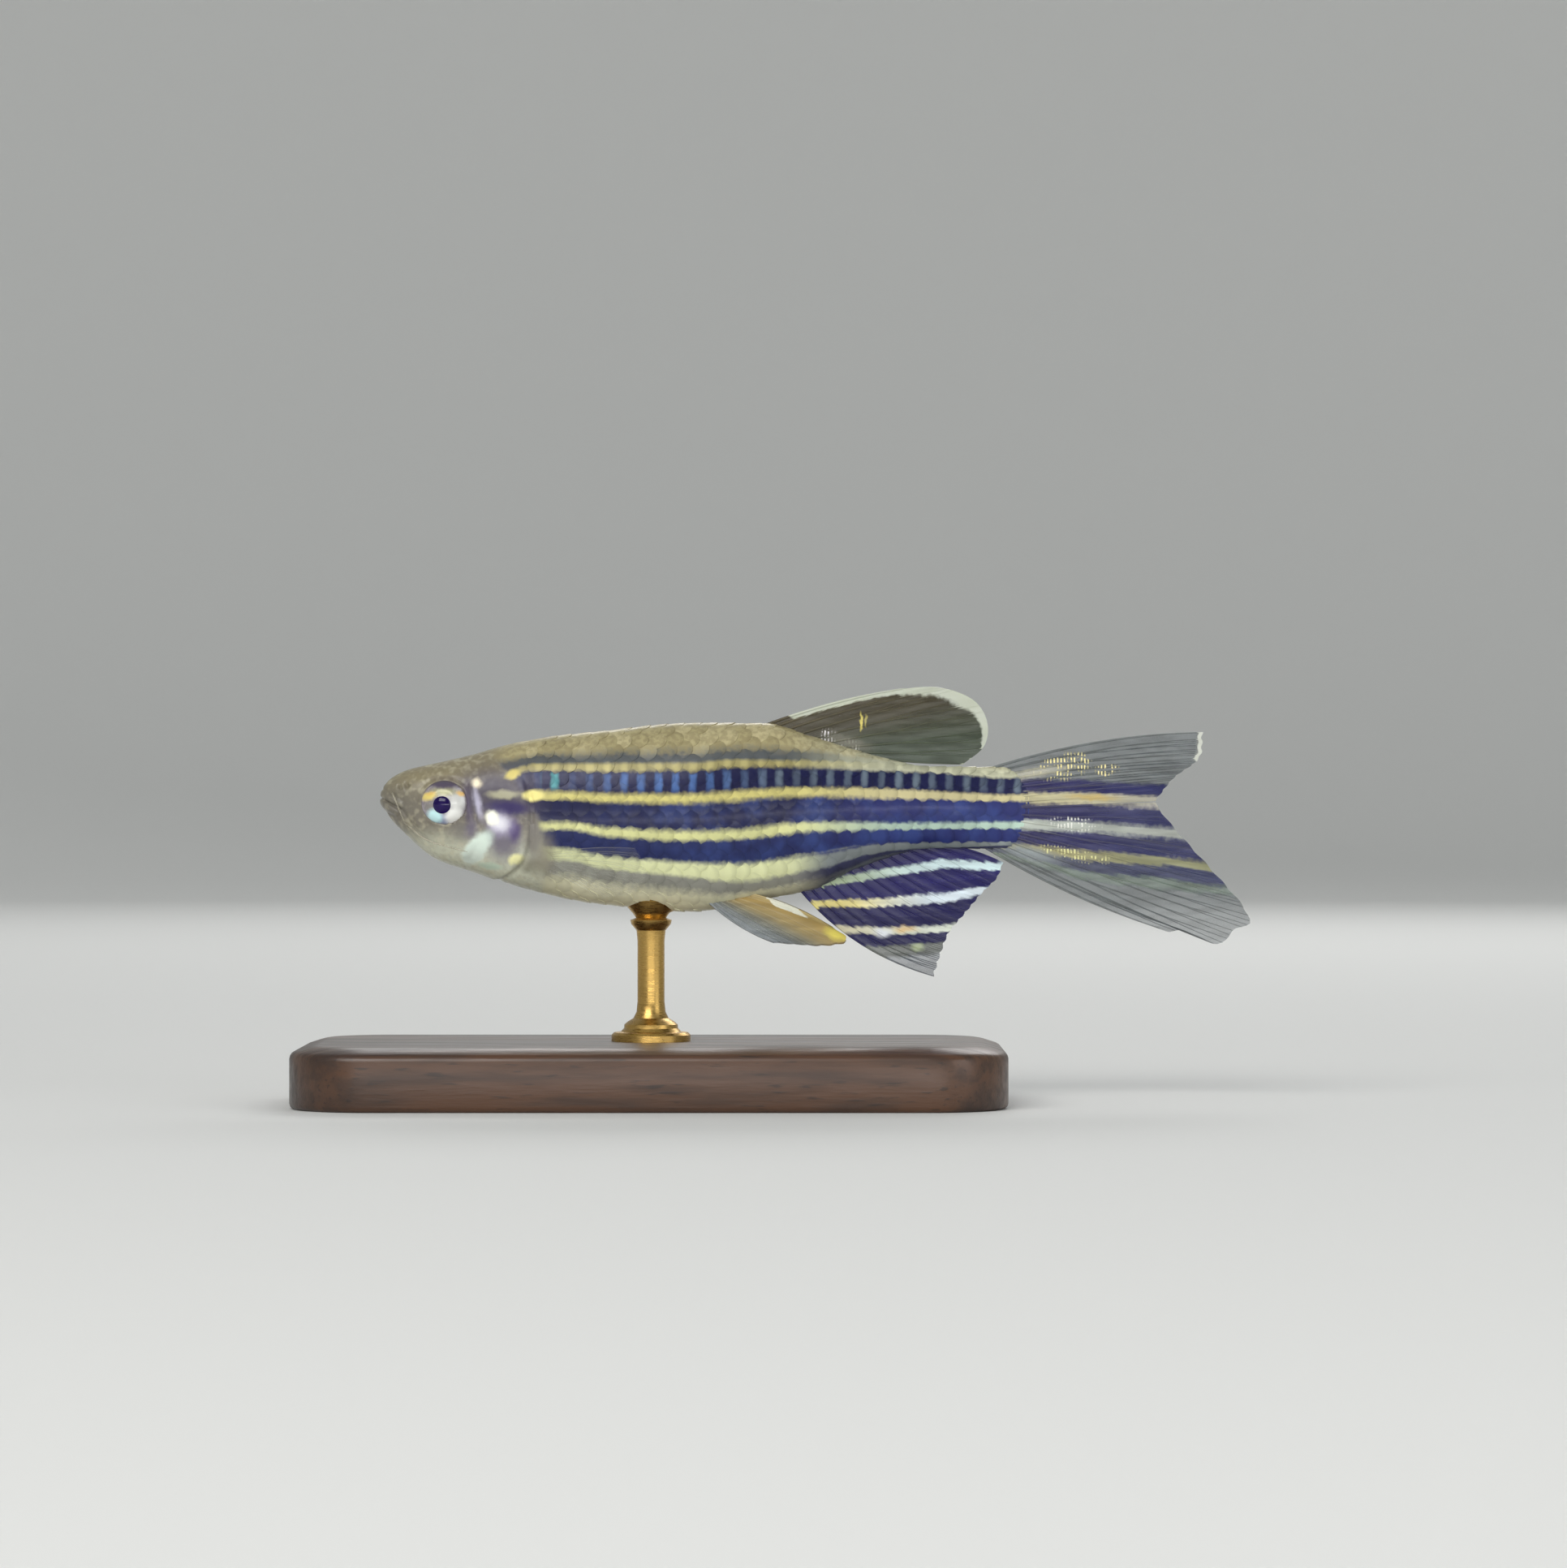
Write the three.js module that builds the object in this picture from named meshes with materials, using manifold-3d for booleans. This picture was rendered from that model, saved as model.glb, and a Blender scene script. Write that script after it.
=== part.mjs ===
// A zebra danio, life size and still, held over a flat base by one slim rod.
// Millimetres, +Z up. The fish faces -X and its left side faces -Y. The origin is under the middle of the base.
import * as THREE from "three";
import { mergeVertices } from "three/addons/utils/BufferGeometryUtils.js";
import Module from "manifold-3d";

const wasm = await Module();
wasm.setup();

// Driving sizes. Fish sizes are measured back from the tip of the snout (x), and up from it (z).
const standardLength = 30; // snout to the root of the tail fin
const gap = 0.3; // between pieces that meet
const eyeGap = 0.2; // round an eyeball, and round a pupil
const eye = { x: 3.04, z: -0.27, radius: 1.05, halfDepth: 0.6, proud: 0.3, turn: -0.2 };
const pupil = { forward: 0.17, radius: 0.46, halfDepth: 0.4, proud: 0.05 };
const gillPlate = { thick: 0.55, proud: 0.12 };
const tailSwing = 0.9; // how far the tail root lies to the fish's right
const swingStart = 10;
const membrane = 0.5; // thickness of a fin between its rays

const base = { length: 34, width: 17, height: 3, corner: 4, chamfer: 0.5 };
const rod = { at: 13, radius: 0.65, footRadius: 1.9, footRim: 0.42, footHeight: 0.7, fillet: 0.5 };
const clearUnderFins = 3; // from the top of the base to the lowest fin
const lowestFin = -8.6;

// The outline of the body where it turns, from the snout to the root of the tail fin:
// height of the back, height of the belly, half width, and the height where it is widest.
const stations = [
  { name: "snout", x: 0, back: 0, belly: 0, half: 0, mid: 0 },
  { name: "lips", x: 0.2, back: 0.62, belly: -0.5, half: 0.62, mid: 0.05 },
  { name: "nostril", x: 1.2, back: 1.25, belly: -1.62, half: 1.22, mid: -0.1 },
  { name: "eye", x: 2.7, back: 1.75, belly: -2.87, half: 1.66, mid: -0.3 },
  { name: "cheek", x: 4.3, back: 2.12, belly: -3.43, half: 1.95, mid: -0.55 },
  { name: "nape", x: 5.9, back: 2.58, belly: -3.95, half: 2.14, mid: -0.75 },
  { name: "gill opening", x: 7.6, back: 2.95, belly: -4.48, half: 2.28, mid: -0.9 },
  { name: "shoulder", x: 11, back: 3.33, belly: -5.08, half: 2.45, mid: -1.0 },
  { name: "belly", x: 15, back: 3.68, belly: -5.38, half: 2.35, mid: -0.95 },
  { name: "dorsal fin", x: 18.4, back: 3.67, belly: -4.78, half: 1.98, mid: -0.7 },
  { name: "vent", x: 20.7, back: 3.05, belly: -4.35, half: 1.65, mid: -0.55 },
  { name: "anal fin", x: 23, back: 2.33, belly: -3.28, half: 1.36, mid: -0.45 },
  { name: "wrist", x: 26.5, back: 1.6, belly: -2.36, half: 0.98, mid: -0.38 },
  { name: "tail root", x: 30, back: 1.57, belly: -2.4, half: 0.62, mid: -0.4 },
];

// A curve through the stations. It runs on the square root of x, which keeps the snout round.
function along(key) {
  const at = stations.map((s) => Math.sqrt(s.x));
  const value = stations.map((s) => s[key]);
  const slope = at.slice(1).map((a, i) => (value[i + 1] - value[i]) / (a - at[i]));
  const tangent = at.map((a, i) => {
    const before = slope[Math.max(i - 1, 0)];
    const after = slope[Math.min(i, slope.length - 1)];
    return before * after <= 0 ? 0 : (2 * before * after) / (before + after);
  });
  return (x) => {
    const s = Math.sqrt(Math.min(Math.max(x, 0), standardLength));
    const passed = at.filter((a) => a <= s).length;
    const i = Math.min(passed, at.length - 1);
    const width = at[i] - at[i - 1];
    const t = Math.min((s - at[i - 1]) / width, 1);
    return (
      value[i - 1] * (1 + 2 * t) * (1 - t) ** 2 +
      value[i] * t * t * (3 - 2 * t) +
      width * t * (1 - t) * (tangent[i - 1] * (1 - t) - tangent[i] * t)
    );
  };
}

const back = along("back");
const belly = along("belly");
const half = along("half");
const mid = along("mid");

// How square a section is: 2 is an ellipse. The head is a little boxier than the tail.
const squareness = (x) => 2.3 - 0.25 * THREE.MathUtils.smoothstep(x, 4, 14);

// How far the spine lies to the fish's right of its straight line.
const sway = (x) => tailSwing * (Math.max(x - swingStart, 0) / (standardLength - swingStart)) ** 2;

// Half the width of the body at a height.
function halfAt(x, z) {
  const reach = z > mid(x) ? back(x) - mid(x) : mid(x) - belly(x);
  const share = Math.min(Math.abs(z - mid(x)) / reach, 1);
  const power = squareness(x);
  return half(x) * (1 - share ** power) ** (1 / power);
}

// A point on the skin of the left side, lifted off it by a distance.
const onLeft = (x, z, lift = 0) => new THREE.Vector3(x, sway(x) - halfAt(x, z) - lift, z);

// Shape tools

// Joins rings of points into a closed skin. A ring runs down the left side and up the right,
// and the two sides are split into triangles alike, so that thin pieces don't cross themselves.
function loft(rings) {
  const count = rings[0].length;
  const index = [];
  const id = (k, i) => k * count + (i % count);
  for (let k = 0; k + 1 < rings.length; k++) {
    for (let i = 0; i < count; i++) {
      const [a, b, c, d] = [id(k, i), id(k, i + 1), id(k + 1, i + 1), id(k + 1, i)];
      if (i < count / 2) index.push(a, b, d, b, c, d);
      else index.push(a, b, c, a, c, d);
    }
  }
  const last = rings.length - 1;
  for (let i = 0; i < count / 2 - 1; i++) {
    const facing = count - 1 - i;
    index.push(id(0, i), id(0, facing), id(0, i + 1), id(0, i + 1), id(0, facing), id(0, facing - 1));
    index.push(id(last, i), id(last, i + 1), id(last, facing));
    index.push(id(last, i + 1), id(last, facing - 1), id(last, facing));
  }
  const points = rings.flat().flatMap((p) => [p.x, p.y, p.z]);
  return new THREE.BufferGeometry()
    .setAttribute("position", new THREE.Float32BufferAttribute(points, 3))
    .setIndex(index);
}

// Welds a geometry's corners and drops the triangles that this closes up.
function welded(geometry) {
  const bare = new THREE.BufferGeometry().setAttribute("position", geometry.getAttribute("position"));
  bare.setIndex(geometry.index);
  const merged = mergeVertices(bare, 1e-4);
  const kept = [];
  for (let i = 0; i < merged.index.count; i += 3) {
    const [a, b, c] = [0, 1, 2].map((n) => merged.index.getX(i + n));
    if (a !== b && b !== c && c !== a) kept.push(a, b, c);
  }
  return merged.setIndex(kept);
}

function solid(geometry) {
  const { attributes, index } = welded(geometry);
  return new wasm.Manifold(
    new wasm.Mesh({
      numProp: 3,
      vertProperties: new Float32Array(attributes.position.array),
      triVerts: new Uint32Array(index.array),
    }),
  );
}

function mirrored(geometry) {
  const made = welded(geometry).scale(1, -1, 1);
  const order = made.index.array;
  for (let i = 0; i < order.length; i += 3) [order[i + 1], order[i + 2]] = [order[i + 2], order[i + 1]];
  return made;
}

// The largest closed body of a solid, so that a cut leaves no loose scrap.
const largest = (made) => made.decompose().sort((a, b) => b.volume() - a.volume())[0];

function geometryOf(made) {
  const mesh = made.getMesh();
  const geometry = new THREE.BufferGeometry()
    .setAttribute("position", new THREE.BufferAttribute(new Float32Array(mesh.vertProperties), 3))
    .setIndex(new THREE.BufferAttribute(new Uint32Array(mesh.triVerts), 1))
    .toNonIndexed();
  geometry.computeVertexNormals();
  return geometry;
}

const point = (x, z, y = 0) => new THREE.Vector3(x, y, z);

// A block with this outline seen from the side, from one width of the fish to another.
function sideBlock(outline, from = -8, to = 8) {
  const shape = new THREE.Shape(outline.map(([x, z]) => new THREE.Vector2(x, z)));
  const geometry = new THREE.ExtrudeGeometry(shape, { depth: to - from, bevelEnabled: false });
  return solid(geometry.rotateX(Math.PI / 2).translate(0, to, 0));
}

const shifted = (outline, dx, dz) => outline.map(([x, z]) => [x + dx, z + dz]);

const smoothLine = (points, divisions = 12) =>
  new THREE.SplineCurve(points.map(([x, z]) => new THREE.Vector2(x, z)))
    .getPoints(divisions)
    .map((p) => [p.x, p.y]);

function ball(centre, rx, ry, rz, turn = 0, sides = 20) {
  return new THREE.SphereGeometry(1, sides, sides / 2)
    .rotateX(Math.PI / 2)
    .scale(rx, ry, rz)
    .rotateZ(turn)
    .translate(centre.x, centre.y, centre.z);
}

// A tube along a curve, whose radius depends on the share of the way along it.
function tube(points, radiusAt, steps, sides = 6) {
  const path = new THREE.CatmullRomCurve3(points);
  const { normals, binormals } = path.computeFrenetFrames(steps, false);
  return loft(
    Array.from({ length: steps + 1 }, (_, k) =>
      Array.from({ length: sides }, (_, i) => {
        const a = ((i + 0.5) / sides) * 2 * Math.PI;
        const r = radiusAt(k / steps);
        return path
          .getPointAt(k / steps)
          .addScaledVector(normals[k], r * Math.cos(a))
          .addScaledVector(binormals[k], r * Math.sin(a));
      }),
    ),
  );
}

// The body

const ringPoints = 32;
const ringCount = 38;
const crowding = 1.6; // sections lie closer together towards the snout

function bodyRing(x, grow) {
  const power = 2 / squareness(x);
  const shaped = (share) => Math.sign(share) * Math.abs(share) ** power;
  return Array.from({ length: ringPoints }, (_, i) => {
    const a = ((i + 0.5) / ringPoints) * 2 * Math.PI;
    const up = shaped(Math.cos(a));
    const reach = up > 0 ? back(x) - mid(x) : mid(x) - belly(x);
    const y = sway(x) - (half(x) + grow) * shaped(Math.sin(a));
    return point(x, mid(x) + (reach + grow) * up, y);
  });
}

// The whole body without fins, grown or shrunk all round by a distance.
function body(grow = 0, from = 0, to = standardLength + 1) {
  const places = Array.from({ length: ringCount + 1 }, (_, k) => from + (to - from) * (k / ringCount) ** crowding);
  return solid(loft(places.map((x) => bodyRing(x, grow))));
}

// Side outlines that part the body. Each runs from above the back to below the belly.
const gillOpening = smoothLine([[5.9, 4.5], [6.5, 2.6], [7, 1], [7.25, -0.5], [7.25, -2], [6.9, -3.4], [6.3, -6]]);
const ventLine = smoothLine([[24.2, 4.5], [23, 1.5], [21.5, -2], [20.3, -4.3], [19.6, -6]]);
const tailRoot = smoothLine([[29.3, 4.5], [29.7, 1.2], [30, -0.4], [29.7, -2], [29.3, -6]]);
const farFront = [[-3, -6], [-3, 4.5]];
const farBack = [[34, -6], [34, 4.5]];
const inFrontOf = (line) => sideBlock([...line, ...farFront]);
const behind = (line) => sideBlock([...farBack, ...line]);

const wholeBody = body();
const grownBody = body(gap).intersect(inFrontOf(shifted(tailRoot, gap, 0)));

function torso() {
  return largest(wholeBody.intersect(behind(shifted(gillOpening, gap, 0))).intersect(inFrontOf(ventLine)));
}

function tail() {
  return largest(wholeBody.intersect(behind(shifted(ventLine, gap, 0))).intersect(inFrontOf(tailRoot)));
}

// The mouth slants down and back from the tip of the snout, and the cut turns down behind the jaw.
const mouthCorner = [1.1, -0.5];
const mouthFront = [-0.5, 0.35];
const mouthSlope = (mouthCorner[1] - mouthFront[1]) / (mouthCorner[0] - mouthFront[0]);
const mouthHeight = (x) => mouthCorner[1] + mouthSlope * (x - mouthCorner[0]);
const jawOutline = [mouthFront, mouthCorner, [2.1, -1.75], [2.65, -3.8], [-0.5, -3.8]];
const mouthOpen = [0.16, 0.25]; // the head's side of the cut lies this far back and up
const lips = { radius: 0.2, endShare: 0.4, sunk: 0.08, belowBack: 0.05 };
const upperLip = { above: 0.46, front: 0.16 }; // its middle over the cut, and back from the snout's tip
const lowerLip = { above: -0.12, front: 0.1 };

// A lip is a bead round the mouth, thickest in front.
function lip({ above, front: x0 }) {
  const left = [1, 0.75, 0.5, 0.25].map((share) => {
    const x = THREE.MathUtils.lerp(x0, mouthCorner[0], share);
    return onLeft(x, Math.min(mouthHeight(x) + above, back(x) - lips.belowBack), -lips.sunk);
  });
  const front = point(x0, mouthHeight(x0) + above);
  const right = left.toReversed().map((p) => point(p.x, p.z, -p.y));
  const radiusAt = (t) => lips.radius * THREE.MathUtils.lerp(lips.endShare, 1, Math.sin(Math.PI * t));
  return tube([...left, front, ...right], radiusAt, 20);
}

// Eyes

const eyeFace = halfAt(eye.x, eye.z) + eye.proud;
const leftEye = point(eye.x, eye.z, eye.halfDepth - eyeFace);
const leftPupil = point(eye.x - pupil.forward, eye.z, pupil.halfDepth - pupil.proud - eyeFace);

function eyeball(grow) {
  return ball(leftEye, eye.radius + grow, eye.halfDepth + grow, eye.radius + grow, eye.turn);
}

function pupilBall(grow) {
  return ball(leftPupil, pupil.radius + grow, pupil.halfDepth + grow, pupil.radius + grow, eye.turn, 14);
}

// Gill covers: a curved plate each side, let into the head, whose rear edge is the gill opening.
const gillPlateFront = smoothLine(
  [[9, 1.15], [6.4, 1.15], [5.2, 0.75], [4.72, -0.5], [4.75, -1.9], [5.3, -2.95], [6.3, -3.65], [9, -4.2]],
  20,
);
const farLeft = -4;
const nearMiddle = -0.4;
const behindSnout = 2; // the plates are cut from a body that begins here

function gillBlock(grow) {
  const outline = gillPlateFront.map(([x, z], i) => {
    const before = gillPlateFront[Math.max(i - 1, 0)];
    const after = gillPlateFront[Math.min(i + 1, gillPlateFront.length - 1)];
    const step = new THREE.Vector2(after[0] - before[0], after[1] - before[1]).normalize();
    return [x + step.y * grow, z - step.x * grow];
  });
  return sideBlock(outline, farLeft, nearMiddle);
}

function gillCoverLeft() {
  const outside = body(gillPlate.proud, behindSnout);
  const plate = outside.subtract(body(gillPlate.proud - gillPlate.thick, behindSnout));
  return largest(plate.intersect(gillBlock(0)).intersect(inFrontOf(gillOpening)));
}

const nostril = { x: 1.25, z: 0.55, sunk: 0.08, length: 0.24, depth: 0.2, height: 0.16 };

function nostrilLeft() {
  const centre = onLeft(nostril.x, nostril.z, -nostril.sunk);
  return ball(centre, nostril.length, nostril.depth, nostril.height, 0, 10);
}

function head() {
  const gillPocket = gillBlock(gap).subtract(body(gillPlate.proud - gillPlate.thick - gap, behindSnout));
  const cuts = [eyeball(eyeGap), nostrilLeft(), geometryOf(gillPocket)];
  let made = wholeBody.add(solid(lip(upperLip)));
  for (const cut of cuts) made = made.subtract(solid(cut)).subtract(solid(mirrored(cut)));
  made = made.intersect(inFrontOf(gillOpening));
  return largest(made.subtract(sideBlock(shifted(jawOutline, ...mouthOpen))));
}

const lowerJaw = () => largest(wholeBody.add(solid(lip(lowerLip))).intersect(sideBlock(jawOutline)));

// Barbels: a short pair from the snout and a longer pair from the corners of the mouth.
// Each leaves the lip head on, bends, and trails back along the cheek. A trail's numbers are x, z and
// the distance from the skin.
const barbel = { root: 0.5, tip: 0.16, bendOut: 0.75, bendBy: 0.1 };
const snoutBarbel = { from: [0.62, 0.3], trail: [[1.05, -0.55, 0.8], [1.3, -1.2, 0.65]] };
const mouthBarbel = { from: [1.35, -1.15], trail: [[2.4, -1.85, 0.75], [4.4, -2.35, 0.5]] };

function barbelLeft({ from: [rootX, rootZ], trail }) {
  const bend = onLeft(rootX + barbel.bendBy, rootZ - barbel.bendBy, barbel.bendOut);
  const points = [onLeft(rootX, rootZ, gap), bend];
  for (const [x, z, lift] of trail) points.push(onLeft(x, z, lift));
  return tube(points, (t) => THREE.MathUtils.lerp(barbel.root, barbel.tip, t) / 2, 9);
}

// Fins

// A fin of rays that fan from a root line to a tip line. Its faces rise to a ridge along each ray
// and sink to the bare skin halfway between two. The rays are counted from the top edge down.
function fin({ rays, steps, rootAt, tipAt, bowAt, drift = () => 0, ridge, tipShare }) {
  const columns = 2 * rays - 1;
  const place = (u, v) => {
    const p = rootAt(v).lerp(tipAt(v), u).addScaledVector(bowAt(v), 4 * u * (1 - u));
    p.y += sway(p.x) + drift(u, v);
    return p;
  };
  const near = 0.01;
  return loft(
    Array.from({ length: steps + 1 }, (_, k) => {
      const u = k / steps;
      const [left, right] = [[], []];
      for (let c = 0; c < columns; c++) {
        const v = c / (columns - 1);
        const acrossRays = place(u, Math.min(v + near, 1)).sub(place(u, Math.max(v - near, 0)));
        const alongRay = place(Math.min(u + near, 1), v).sub(place(Math.max(u - near, 0), v));
        const outwards = acrossRays.cross(alongRay).normalize();
        const onRay = c % 2 === 0;
        const thick = (onRay ? ridge : membrane) * THREE.MathUtils.lerp(1, tipShare, u ** 3);
        left.push(place(u, v).addScaledVector(outwards, thick / 2));
        right.unshift(place(u, v).addScaledVector(outwards, -thick / 2));
      }
      return [...left, ...right];
    }),
  );
}

const seated = (geometry) => largest(solid(geometry).subtract(grownBody));
const between = (a, b) => (v) => new THREE.Vector3().lerpVectors(a, b, v);
const through = (points) => {
  const line = new THREE.CatmullRomCurve3(points, false, "catmullrom", 0.5);
  return (v) => line.getPointAt(v);
};
const medianFin = { ridge: 0.78, tipShare: 0.6 };
const pairedFin = { ridge: 0.72, tipShare: 0.6 };

const dorsal = { rays: 9, front: 18.1, rear: 22.9, sunk: 0.15 };
function dorsalFin() {
  return fin({
    ...medianFin,
    rays: dorsal.rays,
    steps: 8,
    rootAt: (v) => {
      const x = THREE.MathUtils.lerp(dorsal.front, dorsal.rear, v);
      return point(x, back(x) - dorsal.sunk);
    },
    tipAt: through([
      point(25, 5.32), point(26.6, 5.33), point(28.1, 4.85), point(29, 3.8), point(29.1, 2.7), point(28, 1.95),
    ]),
    bowAt: (v) => point(0, 0.3 - 0.3 * v),
    drift: (u, v) => 0.35 * u * u * v,
  });
}

const anal = { rays: 14, front: 20.1, rear: 26.5, sunk: 0.15 };
function analFin() {
  return fin({
    ...medianFin,
    rays: anal.rays,
    steps: 8,
    rootAt: (v) => {
      const x = THREE.MathUtils.lerp(anal.rear, anal.front, v);
      return point(x, belly(x) + anal.sunk);
    },
    tipAt: through([
      point(29.45, -3.1), point(29.3, -3.9), point(28.75, -4.7), point(28, -5.65), point(27.35, -6.5),
      point(27, -7.5), point(26.6, -8.55),
    ]),
    bowAt: (v) => point(-0.35 * v, -0.5 * v * v),
    drift: (u, v) => -0.4 * u * u * v,
  });
}

const caudal = { rays: 9, front: 28.9, top: 1.35, middle: -0.42, bottom: -2.2 };
function tailFinUpper() {
  return fin({
    ...medianFin,
    rays: caudal.rays,
    steps: 9,
    rootAt: between(point(caudal.front, caudal.top), point(caudal.front, caudal.middle + gap / 2)),
    tipAt: through([point(39.75, 3.24), point(39.55, 2), point(38.3, 1.05), point(37.35, gap / 2 - 0.12)]),
    bowAt: (v) => point(0, 0.42 * (1 - v) ** 2),
    drift: (u, v) => 1.3 * u * u * (1 - v),
  });
}

function tailFinLower() {
  return fin({
    ...medianFin,
    rays: caudal.rays + 1,
    steps: 9,
    rootAt: between(point(caudal.front, caudal.middle - gap / 2), point(caudal.front, caudal.bottom)),
    tipAt: through([
      point(37.35, -gap / 2 - 0.12), point(38.2, -1.3), point(40, -3.3), point(41.5, -5.2), point(41.95, -6.2),
      point(41.3, -6.8), point(40.25, -7.15),
    ]),
    bowAt: (v) => point(0, -0.45 * v * v),
    drift: (u, v) => -0.6 * u * u * v,
  });
}

const pelvic = { rays: 7, x: 15.6, y: 0.75, rightDroop: 0.15 };
function pelvicFin(side, droop) {
  const y = side * pelvic.y;
  return fin({
    ...pairedFin,
    rays: pelvic.rays,
    steps: 5,
    rootAt: between(point(pelvic.x + 0.9, belly(pelvic.x) + 1, y * 0.6), point(pelvic.x, belly(pelvic.x) + 0.6, y)),
    tipAt: through([
      point(21.7, -6.15, y * 1.5), point(22.45, -6.7 - droop, y * 2), point(21.3, -6.95 - droop, y * 2.4),
      point(18.9, -6.8 - droop, y * 2.7),
    ]),
    bowAt: (v) => point(0, 0.35 - 0.6 * v, side * 0.15),
  });
}

const pectoral = { rays: 9, x: 7.95, top: -2.6, bottom: -3.4 };
function pectoralFinLeft() {
  const root = (z) => onLeft(pectoral.x, z, -0.7);
  const away = (from, x, y, z) => root(from).add(point(x, z, y));
  return fin({
    ...pairedFin,
    rays: pectoral.rays,
    steps: 5,
    rootAt: between(root(pectoral.top), root(pectoral.bottom)),
    tipAt: through([
      away(pectoral.top, 4.4, -3.1, 0.3), away(pectoral.top, 4.9, -2.8, -0.7), away(pectoral.bottom, 4.3, -2.4, -1),
      away(pectoral.bottom, 2.7, -1.8, -1.3),
    ]),
    bowAt: () => point(0, 0.15, -0.35),
  });
}

// The stand

const snoutHeight = base.height + clearUnderFins - lowestFin;

function roundedRectangle(length, width, corner) {
  const [x, y] = [length / 2 - corner, width / 2 - corner];
  const shape = new THREE.Shape();
  shape.absarc(x, y, corner, 0, Math.PI / 2);
  shape.absarc(-x, y, corner, Math.PI / 2, Math.PI);
  shape.absarc(-x, -y, corner, Math.PI, 1.5 * Math.PI);
  shape.absarc(x, -y, corner, 1.5 * Math.PI, 2 * Math.PI);
  return shape;
}

function standBase() {
  const { length, width, height, corner, chamfer } = base;
  const shape = roundedRectangle(length - 2 * chamfer, width - 2 * chamfer, corner - chamfer);
  return new THREE.ExtrudeGeometry(shape, {
    depth: height - 2 * chamfer,
    bevelThickness: chamfer,
    bevelSize: chamfer,
    bevelSegments: 1,
    curveSegments: 5,
  }).translate(0, 0, chamfer);
}

// The rod stands on a turned foot. It is drawn up into the belly, and the belly then cuts its seat.
function standRod() {
  const foot = base.height + gap;
  const shoulder = foot + rod.footHeight;
  const top = snoutHeight + belly(rod.at) + 2 * rod.radius;
  const profile = [
    [0, foot], [rod.footRadius, foot], [rod.footRadius, foot + rod.footRim],
    [rod.radius + rod.fillet, shoulder], [rod.radius, shoulder + rod.fillet], [rod.radius, top], [0, top],
  ];
  const turned = new THREE.LatheGeometry(profile.map(([r, z]) => new THREE.Vector2(r, z)), 20);
  turned.rotateX(Math.PI / 2).translate(0, sway(rod.at), 0);
  return solid(turned).subtract(grownBody.translate(-rod.at, 0, snoutHeight));
}

// Finishes

const finish = (color, roughness, metalness = 0, opacity = 1) =>
  new THREE.MeshStandardMaterial({ color, roughness, metalness, opacity, transparent: opacity < 1 });
const finishes = {
  head: finish(0x9d9172, 0.35),
  gillCover: finish(0xb9b0bd, 0.25, 0.4),
  flank: finish(0x48507c, 0.3, 0.2),
  iris: finish(0xd9dcd6, 0.15, 0.3),
  pupil: finish(0x0b0814, 0.05),
  barbel: finish(0xa99c7e, 0.4),
  dorsalFin: finish(0x9aa08a, 0.35, 0, 0.5),
  stripedFin: finish(0x565a8c, 0.35, 0, 0.75),
  pelvicFin: finish(0xc79a4c, 0.35, 0, 0.7),
  pectoralFin: finish(0xc9cbbd, 0.35, 0, 0.4),
  wood: finish(0x3a2619, 0.45),
  brass: finish(0xb08d4a, 0.3, 1),
};

// The scene graph

const fish = new THREE.Group();
fish.position.set(-rod.at, 0, snoutHeight);
const stand = new THREE.Group();

function add(group, name, geometry, material) {
  const mesh = new THREE.Mesh(geometry, material);
  mesh.name = name;
  group.add(mesh);
}

function addPair(name, geometry, material) {
  add(fish, name + "_left", geometry, material);
  add(fish, name + "_right", mirrored(geometry), material);
}

add(fish, "head", geometryOf(head()), finishes.head);
add(fish, "lower_jaw", geometryOf(lowerJaw()), finishes.head);
add(fish, "torso", geometryOf(torso()), finishes.flank);
add(fish, "tail", geometryOf(tail()), finishes.flank);
addPair("gill_cover", geometryOf(gillCoverLeft()), finishes.gillCover);
addPair("eye", geometryOf(solid(eyeball(0)).subtract(solid(pupilBall(eyeGap)))), finishes.iris);
addPair("pupil", pupilBall(0), finishes.pupil);
addPair("barbel_snout", barbelLeft(snoutBarbel), finishes.barbel);
addPair("barbel_mouth", barbelLeft(mouthBarbel), finishes.barbel);
add(fish, "dorsal_fin", geometryOf(seated(dorsalFin())), finishes.dorsalFin);
add(fish, "anal_fin", geometryOf(seated(analFin())), finishes.stripedFin);
add(fish, "tail_fin_upper", geometryOf(seated(tailFinUpper())), finishes.stripedFin);
add(fish, "tail_fin_lower", geometryOf(seated(tailFinLower())), finishes.stripedFin);
add(fish, "pelvic_fin_left", geometryOf(seated(pelvicFin(-1, 0))), finishes.pelvicFin);
add(fish, "pelvic_fin_right", geometryOf(seated(pelvicFin(1, pelvic.rightDroop))), finishes.pelvicFin);
addPair("pectoral_fin", geometryOf(seated(pectoralFinLeft())), finishes.pectoralFin);

add(stand, "stand_base", standBase(), finishes.wood);
add(stand, "stand_rod", geometryOf(standRod()), finishes.brass);

const danio = new THREE.Group();
danio.name = "zebra_danio";
danio.add(fish, stand);

export default danio;
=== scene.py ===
# %% [markdown]
# # A zebra danio on its stand
# A zebra danio is a slim striped fish four centimetres long. This notebook dresses the plain solid
# model of one as a life-size museum piece: skin, scales, eyes, feelers, fins and stand.
# Sizes of the fish are in millimetres, measured back from the tip of the snout (x), to its right (y)
# and up (z), and one function turns them into the metres that Blender works in.

# %% Load the solid model
import math

import bpy
import numpy as np
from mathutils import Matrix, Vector
from mathutils.kdtree import KDTree


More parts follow.
